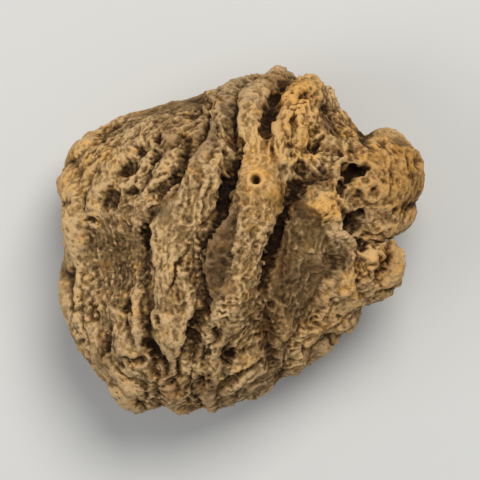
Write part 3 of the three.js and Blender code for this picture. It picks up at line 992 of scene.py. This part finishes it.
    def height(self, body: PlainBody, places: Array, steady: Array) -> Array:
        """The small forms' height.

        Args:
            body: The plain body.
            places: The places to look up, one a row, with a drift that frays the forms' edges.
            steady: The same places without that drift, for the hole with clean edges.

        Returns:
            One height for each place.
        """
        height = self.strength * np.max([fold.height(body, places) for fold in self.folds], axis=0)
        for form in self.furrows + self.lumps + self.curls:
            height += form.height(body, places)
        return height + self.clean_hole.height(body, steady)

    def cracked(self, body: PlainBody, places: Array) -> Array:
        """How deep in a crack each place lies, which guides the painted shade in cracks. A pit counts in
        part.

        Args:
            body: The plain body.
            places: The places to look up, one a row.

        Returns:
            A share from 0 to 1 for each place.
        """
        depths = [-furrow.height(body, places) for furrow in self.furrows]
        depths += [-self.pit_share * lump.height(body, places) for lump in self.lumps if lump.rise < 0]
        return np.clip(np.max(depths, axis=0) / self.full_crack, 0, 1)


@dataclass(frozen=True)
class Patch:
    """A soft-edged stretch of bark seen from above, on the upper side."""

    at: Point
    radii: Point
    strength: float = 1.0
    turn: float = 0.0


def patched(patches: tuple[Patch, ...], body: PlainBody, places: Array) -> Array:
    """How far each place lies in any of the patches.

    Args:
        patches: The patches.
        body: The plain body that they lie on.
        places: The places to look up, one a row.

    Returns:
        A share from 0 to 1 for each place.
    """
    left = np.ones(len(places))
    for patch in patches:
        share = Lump(patch.at, patch.radii, 1.0, patch.turn, PATCH_EDGE).share(body, places)
        left *= 1 - patch.strength * share
    return 1 - left


@dataclass(frozen=True)
class Wrinkles:
    """The raised net of dried bark, by a formula: it runs from the crown to the tail and round the flanks.

    Scales are in waves a millimetre, and shifts set one noise apart from another. Each net is given by its
    scale, its rise in millimetres and its lines' width. Each wander is given by its reach, scale and shift.
    """

    seed: int = 11
    net_seed: int = 31
    stretch: float = 0.62
    grain_room: float = 1.12
    grain_least: float = 0.05
    grain_power: float = 0.6
    wanders: tuple[Triple, ...] = ((1.3, 0.16, 0.0), (0.5, 0.5, 9.0), (0.16, 1.6, 0.0))
    nets: tuple[Triple, ...] = ((0.4, 0.3, 0.42), (0.72, 0.32, 0.34), (1.2, 0.18, 0.45))
    net_sink: float = 0.35
    break_scale: float = 1.3
    break_shift: float = 40.0
    break_edge: float = 0.45
    break_least: float = 0.3
    break_gain: float = 0.9
    swell_scale: float = 0.23
    swell_shift: float = 3.0
    swell_middle: float = 0.85
    swell_gain: float = 0.4
    wart_scale: float = 1.25
    wart_rise: float = 0.32
    wart_radius: float = 0.42
    wart_span: Point = (0.2, 0.6)
    wart_least: float = 0.25
    wart_hush: float = 0.55
    pock_scale: float = 0.55
    pock_depth: float = 0.12
    pock_radius: float = 0.3
    pock_span: Point = (0.35, 0.9)
    flank_span: Point = (1.0, 7.0)
    flank_least: float = 0.85
    flank_gain: float = 0.15
    dent_scale: float = 0.2
    dent_rise: float = 0.35
    dent_shift: float = 17.0
    rough_gain: float = 1.2
    smooth: tuple[Patch, ...] = (
        Patch((8.2, -4.2), (3.9, 6.6), 0.7, -8),
        Patch((7.0, 3.8), (1.2, 2.4), 0.8),
        Patch((5.2, -3.2), (1.3, 5.4), 0.5, -8),
        Patch((-0.4, -17.0), (4.6, 2.6), 0.5, 30),
        Patch((-8.4, 16.6), (5.0, 2.4), 0.5, 20),
        Patch((-3.1, -3.2), (1.7, 4.8), 0.45, -10),
        Patch((-20.4, -5.0), (1.0, 6.5), 0.55, 4),
        Patch((1.9, 6.4), (2.2, 2.8), 0.75),
        Patch((4.1, 4.8), (1.1, 1.8), 0.9),
        Patch((-8.6, 3.0), (1.4, 1.6), 0.6, -20),
        Patch((18.4, 11.3), (1.2, 1.0), 0.8),
    )
    warty: tuple[Patch, ...] = (
        Patch((-15.6, -3.2), (3.4, 6.0), 1.0, 4),
        Patch((-13.0, -14.0), (4.0, 4.0), 0.7),
        Patch((-16.5, 3.5), (3.0, 3.0), 0.5),
        Patch((10.1, 3.6), (2.0, 1.9), 1.0),
        Patch((6.8, 16.2), (2.0, 2.4), 0.5, -20),
        Patch((15.6, -3.2), (2.6, 2.8), 1.0),
        Patch((10.8, -12.0), (4.0, 1.8), 0.8, 38),
    )
    rough: tuple[Patch, ...] = (
        Patch((6.6, 16.6), (2.6, 2.8), 1.0, -20),
        Patch((10.1, 3.6), (2.0, 1.9), 1.0),
        Patch((15.8, -3.4), (2.8, 3.0), 0.6),
    )

    def grain(self, places: Array, tail: Point, crown: Point) -> Array:
        """Places laid out so that noise over them runs along the bark's grain.

        Args:
            places: Points on the root from the widest level, one a row.
            tail: Where the grain ends meet at the tail, from above.
            crown: Where they meet at the crown.

        Returns:
            The laid-out places, one a row, in about the same millimetres across the grain.
        """
        axis = np.array([crown[0] - tail[0], crown[1] - tail[1], 0.0])
        half = np.linalg.norm(axis) / 2
        axis /= 2 * half
        middle = np.array([(crown[0] + tail[0]) / 2, (crown[1] + tail[1]) / 2, 0.0])
        out = places - middle
        along = out @ axis
        across = out - along[:, None] * axis
        inside = 1 - (along / (self.grain_room * half)) ** 2
        narrow = np.sqrt(np.clip(inside, self.grain_least, 1)) ** self.grain_power
        return across / narrow[:, None] + (self.stretch * along)[:, None] * axis

    def _net(self, layer: int, places: Array, grain: Array) -> Array:
        """One net of lines, broken in places.

        Args:
            layer: The net's number.
            places: The places to look up, one a row.
            grain: The same places laid out along the grain.

        Returns:
            One height for each place.
        """
        scale, rise, width = self.nets[layer]
        noise = Noise(self.net_seed + layer)
        lines = np.maximum(1 - np.abs(noise.smooth(scale * grain)) / width, 0) - self.net_sink
        patchy = noise.smooth(self.break_scale * scale * places + self.break_shift)
        shown = smoothstep(-self.break_edge, self.break_edge, patchy)
        return rise * lines * (self.break_least + self.break_gain * shown)

    def height(self, body: PlainBody, places: Array, tail: Point, crown: Point) -> Array:
        """The height of the nets, the warts, the pocks and the dents.

        Args:
            body: The plain body.
            places: The places to look up, one a row.
            tail: Where the grain ends meet at the tail, from above.
            crown: Where they meet at the crown.

        Returns:
            One height for each place.
        """
        slow, wart, pock = (Noise(self.seed + k) for k in range(3))
        drifted = places.copy()
        for reach, scale, shift in self.wanders:
            drifted += reach * slow.drift(scale * places + shift)
        grain = self.grain(drifted, tail, crown)
        height = sum(self._net(layer, places, grain) for layer in range(len(self.nets)))
        swell = slow.smooth(self.swell_scale * places + self.swell_shift)
        height *= self.swell_middle + self.swell_gain * swell
        near, value = wart.cells(self.wart_scale * drifted)
        domes = self.wart_rise * smoothstep(*self.wart_span, value)
        domes *= np.maximum(1 - (near / self.wart_radius) ** 2, 0)
        near, value = pock.cells(self.pock_scale * grain)
        pocks = self.pock_depth * smoothstep(*self.pock_span, value)
        height -= pocks * np.exp(-((near / self.pock_radius) ** 4))
        warty = patched(self.warty, body, places)
        height *= 1 - self.wart_hush * warty
        height += domes * (self.wart_least + (1 - self.wart_least) * warty)
        height *= 1 - patched(self.smooth, body, places)
        height *= 1 + self.rough_gain * patched(self.rough, body, places)
        height *= self.flank_least + self.flank_gain * smoothstep(*self.flank_span, places[:, 2])
        return height + self.dent_rise * slow.smooth(self.dent_scale * grain + self.dent_shift)


@dataclass(frozen=True)
class Tints:
    """Patches where the bark is ochre, greyer with painted shade, paler with painted light, or in painted
    shade.
    """

    ochre: tuple[Patch, ...] = (
        Patch((6.6, 16.5), (2.3, 2.2), 1.0),
        Patch((10.1, 3.6), (1.9, 1.8), 1.0),
        Patch((17.6, 7.8), (4.8, 5.0), 0.8),
        Patch((15.6, -3.4), (3.0, 3.0), 0.4),
        Patch((6.0, 12.4), (3.6, 3.6), 0.6),
        Patch((12.8, -5.2), (1.6, 2.8), 0.5, -30),
        Patch((9.6, -10.2), (5.0, 1.5), 0.4, 36),
        Patch((1.8, 8.0), (2.2, 5.4), 0.6),
        Patch((4.0, 4.8), (1.1, 1.8), 0.9),
        Patch((13.0, 13.0), (2.2, 2.2), 0.6),
        Patch((-19.0, 8.0), (3.0, 6.0), 0.4, -30),
    )
    # greyer bark, and painted shade on slopes, the cheek and the crown's rim
    grey_and_shade: tuple[Patch, ...] = (
        Patch((8.2, -3.8), (3.7, 6.2), 0.75, -8),
        Patch((11.6, -2.6), (1.5, 2.0), 0.9, 10),
        Patch((18.4, 11.3), (1.3, 1.0), 1.0),
        Patch((-3.9, 11.6), (1.4, 2.4), 0.8, -10),
        Patch((-8.8, 3.2), (1.5, 1.7), 0.6, -20),
        Patch((-16.0, -3.6), (3.6, 6.4), 0.4, 4),
        Patch((-1.2, 14.6), (1.0, 3.0), 0.9),
        Patch((-3.1, -3.2), (1.8, 4.8), 1.0, -10),
        Patch((-13.6, -13.2), (3.4, 3.0), 0.3),
        Patch((0.2, 17.6), (1.6, 1.5), 1.0),
        Patch((-4.0, 17.2), (2.4, 1.4), 1.0, 25),
        Patch((4.6, 20.2), (1.8, 1.0), 1.0),
        Patch((-2.2, 1.0), (1.5, 3.4), 1.0, -25),
    )
    # paler bark, and painted light on rims and knobs
    pale: tuple[Patch, ...] = (
        Patch((10.0, 3.9), (1.7, 1.6), 1.0),
        Patch((5.8, 16.4), (1.8, 2.0), 0.4, -20),
        Patch((7.6, 18.6), (0.8, 0.8), 0.7),
        Patch((11.2, 16.0), (0.5, 2.4), 0.8, 30),
        Patch((1.6, 8.4), (2.0, 4.2), 0.4),
        Patch((9.8, -10.6), (5.0, 1.3), 0.6, 36),
        Patch((7.6, -12.0), (1.8, 1.6), 0.6, 30),
        Patch((6.0, 12.8), (3.0, 2.8), 0.5),
        Patch((-19.3, -3.0), (0.9, 5.0), 0.8, 4),
        Patch((-18.0, -12.2), (0.7, 3.0), 0.8, 20),
        Patch((-15.4, -16.6), (0.7, 3.0), 0.8, 38),
        Patch((-8.3, 11.3), (0.9, 0.7), 0.8),
        Patch((-1.4, 10.0), (0.6, 0.7), 0.7),
        Patch((-2.9, 6.0), (0.5, 0.9), 0.6),
        Patch((8.9, 9.2), (0.6, 0.5), 0.8),
        Patch((10.2, 9.5), (0.8, 0.5), 0.8),
        Patch((-18.9, 6.8), (1.5, 2.8), 0.9, -25),
        Patch((-17.3, 2.8), (1.0, 1.5), 0.7),
        Patch((-8.9, -1.8), (1.0, 3.4), 0.6, 8),
        Patch((-12.8, 13.2), (2.0, 1.0), 0.8, 25),
        Patch((-9.9, 3.8), (1.0, 1.8), 0.9, -20),
        Patch((-5.2, -8.2), (1.0, 1.6), 0.8, -15),
        Patch((-10.7, -7.7), (1.0, 2.2), 0.9),
        Patch((-3.2, -7.4), (1.4, 1.3), 0.6),
        Patch((11.0, 0.3), (1.4, 2.2), 0.8),
        Patch((9.8, -7.0), (1.8, 2.4), 0.6),
        Patch((16.0, 3.4), (1.6, 1.4), 0.7),
        Patch((14.2, -2.6), (0.9, 1.4), 0.6),
        Patch((12.4, -7.5), (2.8, 1.5), 1.0, 30),
        Patch((13.5, -7.9), (1.5, 1.1), 1.0, 30),
        Patch((17.0, -3.6), (0.7, 2.6), 0.8),
        Patch((15.4, -5.4), (1.8, 1.4), 0.7),
        Patch((-13.8, -17.6), (1.6, 2.4), 1.0),
        Patch((5.1, 7.9), (1.3, 1.8), 0.9),
    )
    # painted shade: patches over pockets, furrows, holes, slopes and the top rim, which darken the colour
    painted_shade: tuple[Patch, ...] = (
        Patch((-11.6, -0.2), (1.0, 1.8), 0.9, -15),
        Patch((-6.8, 11.0), (1.0, 1.4), 0.3, -20),
        Patch((-5.2, 8.6), (0.8, 3.0), 0.6, -35),
        Patch((-8.4, 11.0), (0.9, 2.4), 0.8, -20),
        Patch((-13.4, 11.3), (1.2, 0.9), 0.6),
        Patch((3.2, -11.8), (1.6, 4.2), 0.9, -5),
        Patch((-1.9, -11.2), (1.3, 1.6), 0.8, -10),
        Patch((4.8, -9.6), (1.6, 3.0), 0.5),
        Patch((-4.1, -17.5), (1.4, 1.0), 0.8),
        Patch((-8.7, -13.5), (1.0, 1.6), 0.4),
        Patch((-15.9, -14.2), (1.1, 1.4), 0.8),
        Patch((-10.9, -2.2), (0.9, 1.6), 0.9),
        Patch((11.8, -2.5), (1.3, 1.8), 0.25, 10),
        Patch((18.8, 9.2), (1.6, 1.8), 0.5),
        Patch((18.2, 2.0), (1.4, 1.0), 0.5),
        Patch((-1.9, -13.8), (1.1, 1.4), 0.9),
        Patch((-4.4, -16.6), (1.2, 0.9), 0.8),
        Patch((3.4, 14.2), (1.1, 3.0), 0.9, -8),
        Patch((4.6, 18.4), (2.2, 1.3), 0.9, -8),
        Patch((0.1, 14.8), (1.2, 1.6), 0.5),
        Patch((-3.9, 11.4), (1.3, 2.4), 0.5, -15),
        Patch((8.6, 6.8), (3.2, 1.1), 1.0, 12),
        Patch((17.4, 7.0), (4.8, 5.2), 0.45),
        Patch((15.8, -3.1), (0.7, 1.7), 0.9, -5),
        Patch((-8.4, 16.4), (5.0, 2.2), 0.3, 20),
        Patch((12.9, 7.9), (1.5, 0.9), 1.0),
        Patch((11.8, 6.4), (0.7, 1.1), 0.9, -25),
        Patch((13.1, 1.8), (1.2, 1.4), 1.0),
        Patch((10.2, 14.2), (1.0, 1.2), 0.5),
        Patch((-15.8, -3.6), (2.8, 5.6), 0.1, 4),
        Patch((5.0, -3.6), (1.6, 6.2), 0.85, -8),
        Patch((7.6, -7.4), (3.2, 3.8), 0.3),
        Patch((6.5, 4.6), (1.3, 1.7), 0.8, -30),
        Patch((8.2, 5.4), (0.9, 0.7), 0.5),
        Patch((-3.5, -3.2), (1.6, 4.6), 1.0, -10),
        Patch((-2.0, 1.6), (1.4, 3.4), 1.0, -25),
        Patch((-5.6, 10.2), (1.1, 4.2), 0.9, -24),
        Patch((-3.5, 15.1), (2.4, 1.4), 0.8, 25),
        Patch((9.7, 16.2), (1.0, 2.1), 0.95, 27),
        Patch((7.1, 16.1), (0.8, 0.5), 0.9, -10),
        Patch((10.8, 11.6), (1.2, 1.2), 0.4),
        Patch((13.9, -4.4), (0.6, 2.2), 0.5, -5),
        Patch((-8.3, -17.0), (1.6, 1.4), 0.9),
        Patch((-7.8, -7.2), (1.2, 1.6), 0.5),
    )


class Value:
    """A node socket that takes part in Python sums. Each operator adds one Math node."""

    def __init__(self, kit: "NodeKit", socket: bpy.types.NodeSocket) -> None:
        """Args:
            kit: Where new nodes are made.
            socket: The output that holds the value.
        """
        self.kit = kit
        self.socket = socket

    def _math(self, operation: str, *inputs: "Value | float") -> "Value":
        """Adds a Math node.

        Args:
            operation: What it works out.
            inputs: What its sockets hold, in order.

        Returns:
            Its result.
        """
        return self.kit.make("ShaderNodeMath", {"operation": operation}, dict(enumerate(inputs)))

    def __add__(self, other: "Value | float") -> "Value":
        """The sum."""
        return self._math("ADD", self, other)

    __radd__ = __add__

    def __sub__(self, other: "Value | float") -> "Value":
        """The difference."""
        return self._math("SUBTRACT", self, other)

    def __rsub__(self, other: float) -> "Value":
        """The difference, from the other side."""
        return self._math("SUBTRACT", other, self)

    def __mul__(self, other: "Value | float") -> "Value":
        """The product."""
        return self._math("MULTIPLY", self, other)

    __rmul__ = __mul__

    def __abs__(self) -> "Value":
        """The distance from 0."""
        return self._math("ABSOLUTE", self)

    def clamped(self) -> "Value":
        """The value held between 0 and 1."""
        return self.kit.make("ShaderNodeClamp", {}, {"Value": self})

    def stepped(self, low: float, high: float) -> "Value":
        """Runs smoothly from 0 to 1.

        Args:
            low: Where it is 0. It may be the larger one.
            high: Where it is 1.

        Returns:
            The share.
        """
        settings = {"interpolation_type": "SMOOTHSTEP"}
        inputs = {"Value": self, "From Min": low, "From Max": high}
        return self.kit.make("ShaderNodeMapRange", settings, inputs)


class NodeKit:
    """Makes the nodes of one material."""

    def __init__(self, material: bpy.types.Material) -> None:
        """Empties the material's node tree.

        Args:
            material: The material to fill.
        """
        material.use_nodes = True
        self.tree = material.node_tree
        self.tree.nodes.clear()

    def node(self, kind: str, settings: Settings, inputs: Inputs) -> bpy.types.Node:
        """Adds one node.

        Args:
            kind: The node's type.
            settings: Its own settings, by attribute. They are set before its sockets.
            inputs: What each input socket holds: a number, a colour, a vector or a Value to link.

        Returns:
            The new node.
        """
        made = self.tree.nodes.new(kind)
        for name, setting in settings.items():
            setattr(made, name, setting)
        for name, given in inputs.items():
            if isinstance(given, Value):
                self.tree.links.new(given.socket, made.inputs[name])
            else:
                made.inputs[name].default_value = given
        return made

    def make(self, kind: str, settings: Settings, inputs: Inputs, output: str | int = 0) -> Value:
        """Adds one node and gives one of its outputs.

        Args:
            kind: The node's type.
            settings: Its own settings, by attribute.
            inputs: What each input socket holds.
            output: The output to give, by name or number.

        Returns:
            The output as a Value.
        """
        return Value(self, self.node(kind, settings, inputs).outputs[output])

    def mixed(self, share: Value | float, first: object, second: object, blend: str = "MIX") -> Value:
        """A mix of two colours.

        Args:
            share: How much of the second colour shows.
            first: The first colour.
            second: The second colour.
            blend: How the second colour acts on the first.

        Returns:
            The mixed colour.
        """
        settings = {"data_type": "RGBA", "blend_type": blend, "clamp_factor": True}
        return self.make("ShaderNodeMix", settings, {0: share, 6: first, 7: second}, 2)

    def ramp(self, place: Value, stops: tuple[tuple[float, Colour], ...]) -> Value:
        """A colour that runs through the given stops.

        Args:
            place: Where on the ramp to look, 0 to 1.
            stops: The places and colours of the stops, in rising order.

        Returns:
            The colour there.
        """
        made = self.node("ShaderNodeValToRGB", {}, {"Fac": place})
        elements = made.color_ramp.elements
        for at, _ in stops[2:]:
            elements.new(at)
        for element, (at, colour) in zip(elements, stops):
            element.position = at
            element.color = colour
        return Value(self, made.outputs["Color"])

    def attribute(self, name: str) -> Value:
        """A number that the mesh holds at each point.

        Args:
            name: What the mesh calls it.

        Returns:
            The number.
        """
        return self.make("ShaderNodeAttribute", {"attribute_name": name}, {}, "Fac")


@dataclass(frozen=True)
class DriedBark:
    """Matt, dry bark: darker where it is sunken, ochre and tan where it stands out. This is partly the
    bark's own colour and partly painted shade in the hollows and painted highlights on the crests.

    Each noise is given by its waves a millimetre, its detail and its roughness.
    """

    # from the most sunken bark to the most standing out: partly its own colours, partly painted shade and
    # highlight
    tones: tuple[tuple[float, Colour], ...] = (
        (0.0, (0.028, 0.013, 0.004, 1)),
        (0.22, (0.107, 0.058, 0.020, 1)),
        (0.5, (0.228, 0.135, 0.051, 1)),
        (0.78, (0.398, 0.250, 0.106, 1)),
        (1.0, (0.640, 0.426, 0.206, 1)),
    )
    ochre: Colour = (1.18, 0.97, 0.58, 1)
    # the colour that the grey patches multiply in: greyer bark and painted shade
    grey_and_shade: Colour = (0.70, 0.72, 0.80, 1)
    # the colour that the painted shade multiplies in
    painted_shade_colour: Colour = (0.43, 0.36, 0.29, 1)
    mottle: Triple = (0.35, 3, 0.6)
    speckle: Triple = (2.2, 6, 0.7)
    dust: Triple = (7.0, 2, 0.6)
    vein: Triple = (0.8, 2, 0.5)
    hue: Triple = (0.55, 4, 0.65)
    vein_width: float = 0.15
    plain_hush: float = 0.75
    # how much the pale patches lift the tone: paler bark and painted light
    pale_tone: float = 0.34
    mottle_tone: float = 0.3
    vein_tone: float = 0.24
    speckle_tone: float = 1.3
    dust_tone: float = 0.2
    ochre_hues: Point = (0.52, 0.66)
    ochre_share: float = 0.6
    grey_hues: Point = (0.48, 0.34)
    grey_share: float = 0.65
    roughness: Point = (0.68, 0.92)
    rough_speckle: float = 0.6
    rough_tone: float = 0.4
    bump_depth: float = 0.00028
    bump_strength: float = 0.8
    bump_dust: float = 0.3
    bump_vein: float = 0.35
    gloss: float = 0.15

    def material(self) -> bpy.types.Material:
        """Makes the bark's material, driven by what the mesh holds at each point.

        Returns:
            The material.
        """
        material = bpy.data.materials.new("dried_bark")
        kit = NodeKit(material)
        place = kit.make("ShaderNodeTexCoord", {}, {}, "Object")
        scaled = kit.make("ShaderNodeVectorMath", {"operation": "SCALE"}, {0: place, "Scale": 1 / MM})

        def noise(waves: Triple) -> Value:
            """Fractal noise from its waves a millimetre, its detail and its roughness."""
            scale, detail, rough = waves
            inputs = {"Vector": scaled, "Scale": scale, "Detail": detail, "Roughness": rough}
            return kit.make("ShaderNodeTexNoise", {}, inputs, "Fac")

        speckle = noise(self.speckle)
        dust = noise(self.dust)
        veins = 1 - abs(noise(self.vein) - 0.5).stepped(0.0, self.vein_width)
        lively = 1 - kit.attribute("plainness") * self.plain_hush
        # tone: partly own colour, partly painted shade and highlight; the pale patches add painted light too
        tone = kit.attribute("tone") + kit.attribute("pale") * self.pale_tone
        tone += (noise(self.mottle) - 0.5) * self.mottle_tone
        tone += ((veins - 0.5) * self.vein_tone + (speckle - 0.5) * self.speckle_tone) * lively
        tone += (dust - 0.5) * self.dust_tone
        tone = tone.clamped()
        hue = noise(self.hue)
        ochre = (kit.attribute("ochre") + hue.stepped(*self.ochre_hues) * self.ochre_share).clamped()
        # greyer bark and painted shade from the patches, greyer at random from the hue noise
        grey_and_shade = (kit.attribute("grey_and_shade") + hue.stepped(*self.grey_hues) * self.grey_share).clamped()
        colour = kit.ramp(tone, self.tones)
        colour = kit.mixed(ochre, colour, self.ochre, "MULTIPLY")
        colour = kit.mixed(grey_and_shade, colour, self.grey_and_shade, "MULTIPLY")
        # painted shade: darkens the shade patches, the hollows and the cracks
        colour = kit.mixed(kit.attribute("painted_shade"), colour, self.painted_shade_colour, "MULTIPLY")
        low, high = self.roughness
        rough = (speckle * self.rough_speckle + (1 - tone) * self.rough_tone) * (high - low) + low
        height = speckle + dust * self.bump_dust + veins * lively * self.bump_vein
        bumps = {"Height": height, "Distance": self.bump_depth, "Strength": self.bump_strength}
        bump = kit.make("ShaderNodeBump", {}, bumps)
        looks = {"Base Color": colour, "Roughness": rough, "Normal": bump, "Specular IOR Level": self.gloss}
        shader = kit.make("ShaderNodeBsdfPrincipled", {}, looks)
        kit.node("ShaderNodeOutputMaterial", {}, {"Surface": shader})
        return material


@dataclass(frozen=True)
class JalapRoot:
    """The whole root: its form, its finer forms and its colouring.

    Each fray is given by its share, its waves a millimetre and a shift that sets it apart. Each tone weight
    is given by the rounds of averaging that smooth the surroundings, and its weight.
    """

    body: PlainBody = PlainBody()
    main: MainForm = MainForm()
    fine: FineForm = FineForm()
    wrinkles: Wrinkles = Wrinkles()
    tints: Tints = Tints()
    finish: DriedBark = DriedBark()
    skin: Skin = Skin()
    centre_height: float = 12.0
    shift: Point = (0.2, 0.2)
    seed: int = 5
    wander: Triple = (0.5, 0.5, 0.25)
    wander_scale: float = 0.13
    fray: float = 0.34
    frays: tuple[Triple, ...] = ((1.0, 0.9, 4.0), (0.8, 2.3, 0.0))
    normal_rounds: int = 6
    # how far a point stands out sets its tone: partly the bark's own colour, partly painted shade and
    # highlight
    tone_weights: tuple[tuple[int, float], ...] = ((3, 6.2), (16, 2.6), (60, 1.0), (400, 0.4))
    # painted shade weighs more where a point lies sunken among its surroundings
    shade_rounds: int = 60
    shade_span: Point = (0.9, -0.1)
    shade_least: float = 0.5
    # painted shade in cracks and pits: where in a crack it starts and is full, and how strong it gets
    crack_span: Point = (0.25, 0.8)
    crack_shade: float = 0.95

    def _shape(self) -> tuple[Array, Array, Array]:
        """Works out the root's form, with its middle at the widest level.

        Returns:
            The finished points, the plain body's points under them, and how cracked each of them is.
        """
        plain = self.body.around(self.skin.directions)
        stray = Noise(self.seed)
        bent = plain + stray.drift(self.wander_scale * plain) * self.wander
        first = plain + self.skin.normals(plain) * self.main.height(self.body, bent, plain)[:, None]
        ragged = sum(gain * stray.drift(scale * plain + shift) for gain, scale, shift in self.frays)
        frayed = bent + self.fray * ragged
        fine = self.fine.height(self.body, frayed, plain)
        net = self.wrinkles.height(self.body, plain, self.main.tail, self.main.crown)
        out = self.skin.relaxed(self.skin.normals(first), self.normal_rounds)
        out /= np.linalg.norm(out, axis=1, keepdims=True)
        return first + out * (fine + net)[:, None], plain, self.fine.cracked(self.body, frayed)

    def _standing(self, points: Array, rounds: int) -> Array:
        """How far each point stands out of its smoothed surroundings.

        Args:
            points: The finished points.
            rounds: How many rounds of averaging smooth the surroundings.

        Returns:
            One distance in millimetres for each point, below 0 where it is sunken.
        """
        soft = self.skin.relaxed(points, rounds)
        return np.einsum("ij,ij->i", points - soft, self.skin.normals(soft))

    def _guides(self, points: Array, plain: Array, cracked: Array) -> dict[str, Array]:
        """The numbers that guide the colour at each point.

        Args:
            points: The finished points.
            plain: The plain body's points under them.
            cracked: How deep in a crack each point lies.

        Returns:
            Each guide's name and its values.
        """
        widths = {rounds: self._standing(points, rounds) for rounds, _ in self.tone_weights}
        # partly the bark's own colour, partly painted shade in hollows and painted highlight on crests
        standing = sum(weight * widths[rounds] for rounds, weight in self.tone_weights)
        # painted shade: the shade patches weigh more where a point lies sunken
        sunken = smoothstep(*self.shade_span, widths[self.shade_rounds])
        shaded = self.shade_least + (1 - self.shade_least) * sunken
        painted_shade = patched(self.tints.painted_shade, self.body, plain) * shaded
        return {
            # the tone: partly the bark's own colour, partly painted shade and painted highlight
            "tone": 0.5 + 0.5 * np.tanh(standing),
            "plainness": patched(self.wrinkles.smooth, self.body, plain),
            "ochre": patched(self.tints.ochre, self.body, plain),
            # greyer bark, and painted shade
            "grey_and_shade": patched(self.tints.grey_and_shade, self.body, plain),
            # paler bark, and painted light on rims and knobs
            "pale": patched(self.tints.pale, self.body, plain),
            # painted shade from the patches, and more of it deep in cracks and pits
            "painted_shade": np.maximum(painted_shade, self.crack_shade * smoothstep(*self.crack_span, cracked)),
        }

    def build(self) -> bpy.types.Object:
        """Makes the root's mesh, dresses it and puts it in the node's place.

        Returns:
            The new piece.
        """
        points, plain, cracked = self._shape()
        guides = self._guides(points, plain, cracked)
        placed = points + (*self.shift, self.centre_height)
        placed[:, 2] = np.maximum(placed[:, 2], 0)
        mesh = bpy.data.meshes.new("bark_skin")
        mesh.from_pydata((placed * MM).tolist(), [], self.skin.faces.tolist())
        mesh.shade_smooth()
        for name, values in guides.items():
            guide = mesh.attributes.new(name, "FLOAT", "POINT")
            guide.data.foreach_set("value", values.astype(np.float32))
        mesh.materials.append(self.finish.material())
        piece = bpy.data.objects.new("wrinkled_root", mesh)
        bpy.context.scene.collection.objects.link(piece)
        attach(piece, BODY)
        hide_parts(NODE)
        LOG.info("%s: %d triangles", piece.name, len(mesh.polygons))
        return piece


@dataclass(frozen=True)
class SoftLight:
    """A large, soft lamp that points at the root."""

    name: str
    place: Triple
    size: float
    power: float
    colour: Triple

    def build(self, target: Vector) -> None:
        """Makes the lamp.

        Args:
            target: The point that it shines at.
        """
        lamp = bpy.data.lights.new(self.name, "AREA")
        lamp.shape = "DISK"
        lamp.size = self.size
        lamp.energy = self.power
        lamp.color = self.colour
        made = bpy.data.objects.new(self.name, lamp)
        made.location = self.place
        made.rotation_euler = (target - made.location).to_track_quat("-Z", "Y").to_euler()
        bpy.context.scene.collection.objects.link(made)


@dataclass(frozen=True)
class Studio:
    """A plain pale floor, soft lights and a camera that looks straight down."""

    floor_size: float = 3.0
    floor_colour: Colour = (0.62, 0.62, 0.60, 1)
    floor_roughness: float = 0.7
    sky_colour: Colour = (0.90, 0.94, 1.0, 1)
    sky_strength: float = 0.35
    camera_height: float = 0.42
    sensor: float = 36.0
    view_width: float = 0.058
    lights: tuple[SoftLight, ...] = (
        SoftLight("key_light", (0.10, 0.24, 0.50), 0.30, 2.42, (1.0, 0.97, 0.92)),
        SoftLight("fill_light", (-0.40, -0.10, 0.35), 0.35, 0.84, (0.97, 0.97, 0.98)),
    )

    def _floor(self) -> None:
        """Makes the floor."""
        half = self.floor_size / 2
        mesh = bpy.data.meshes.new("floor")
        corners = [(-half, -half, 0), (half, -half, 0), (half, half, 0), (-half, half, 0)]
        mesh.from_pydata(corners, [], [(0, 1, 2, 3)])
        material = bpy.data.materials.new("pale_floor")
        kit = NodeKit(material)
        looks = {"Base Color": self.floor_colour, "Roughness": self.floor_roughness}
        shader = kit.make("ShaderNodeBsdfPrincipled", {}, looks)
        kit.node("ShaderNodeOutputMaterial", {}, {"Surface": shader})
        mesh.materials.append(material)
        floor = bpy.data.objects.new("floor", mesh)
        bpy.context.scene.collection.objects.link(floor)

    def _sky(self) -> None:
        """Sets the light that comes from all round."""
        world = bpy.data.worlds.new("studio")
        world.use_nodes = True
        background = world.node_tree.nodes["Background"]
        background.inputs["Color"].default_value = self.sky_colour
        background.inputs["Strength"].default_value = self.sky_strength
        bpy.context.scene.world = world
        bpy.context.scene.view_settings.view_transform = "Standard"

    def _camera(self) -> None:
        """Sets the camera over the root's middle, looking straight down."""
        low, high = (Vector(corner) for corner in CAD_BOX)
        middle = (low + high) / 2
        lens = bpy.data.cameras.new("camera")
        lens.sensor_width = self.sensor
        lens.lens = self.sensor * (self.camera_height - middle.z) / self.view_width
        camera = bpy.data.objects.new("camera", lens)
        camera.location = (middle.x, middle.y, self.camera_height)
        bpy.context.scene.collection.objects.link(camera)
        bpy.context.scene.camera = camera

    def build(self) -> None:
        """Makes the floor, the lights and the camera."""
        low, high = (Vector(corner) for corner in CAD_BOX)
        self._floor()
        self._sky()
        for light in self.lights:
            light.build((low + high) / 2)
        self._camera()


def main() -> None:
    """Builds the studio and the root."""
    logging.basicConfig(level=logging.INFO, format="%(name)s: %(message)s")
    Studio().build()
    JalapRoot().build()
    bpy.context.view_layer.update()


if __name__ == "__main__":
    main()
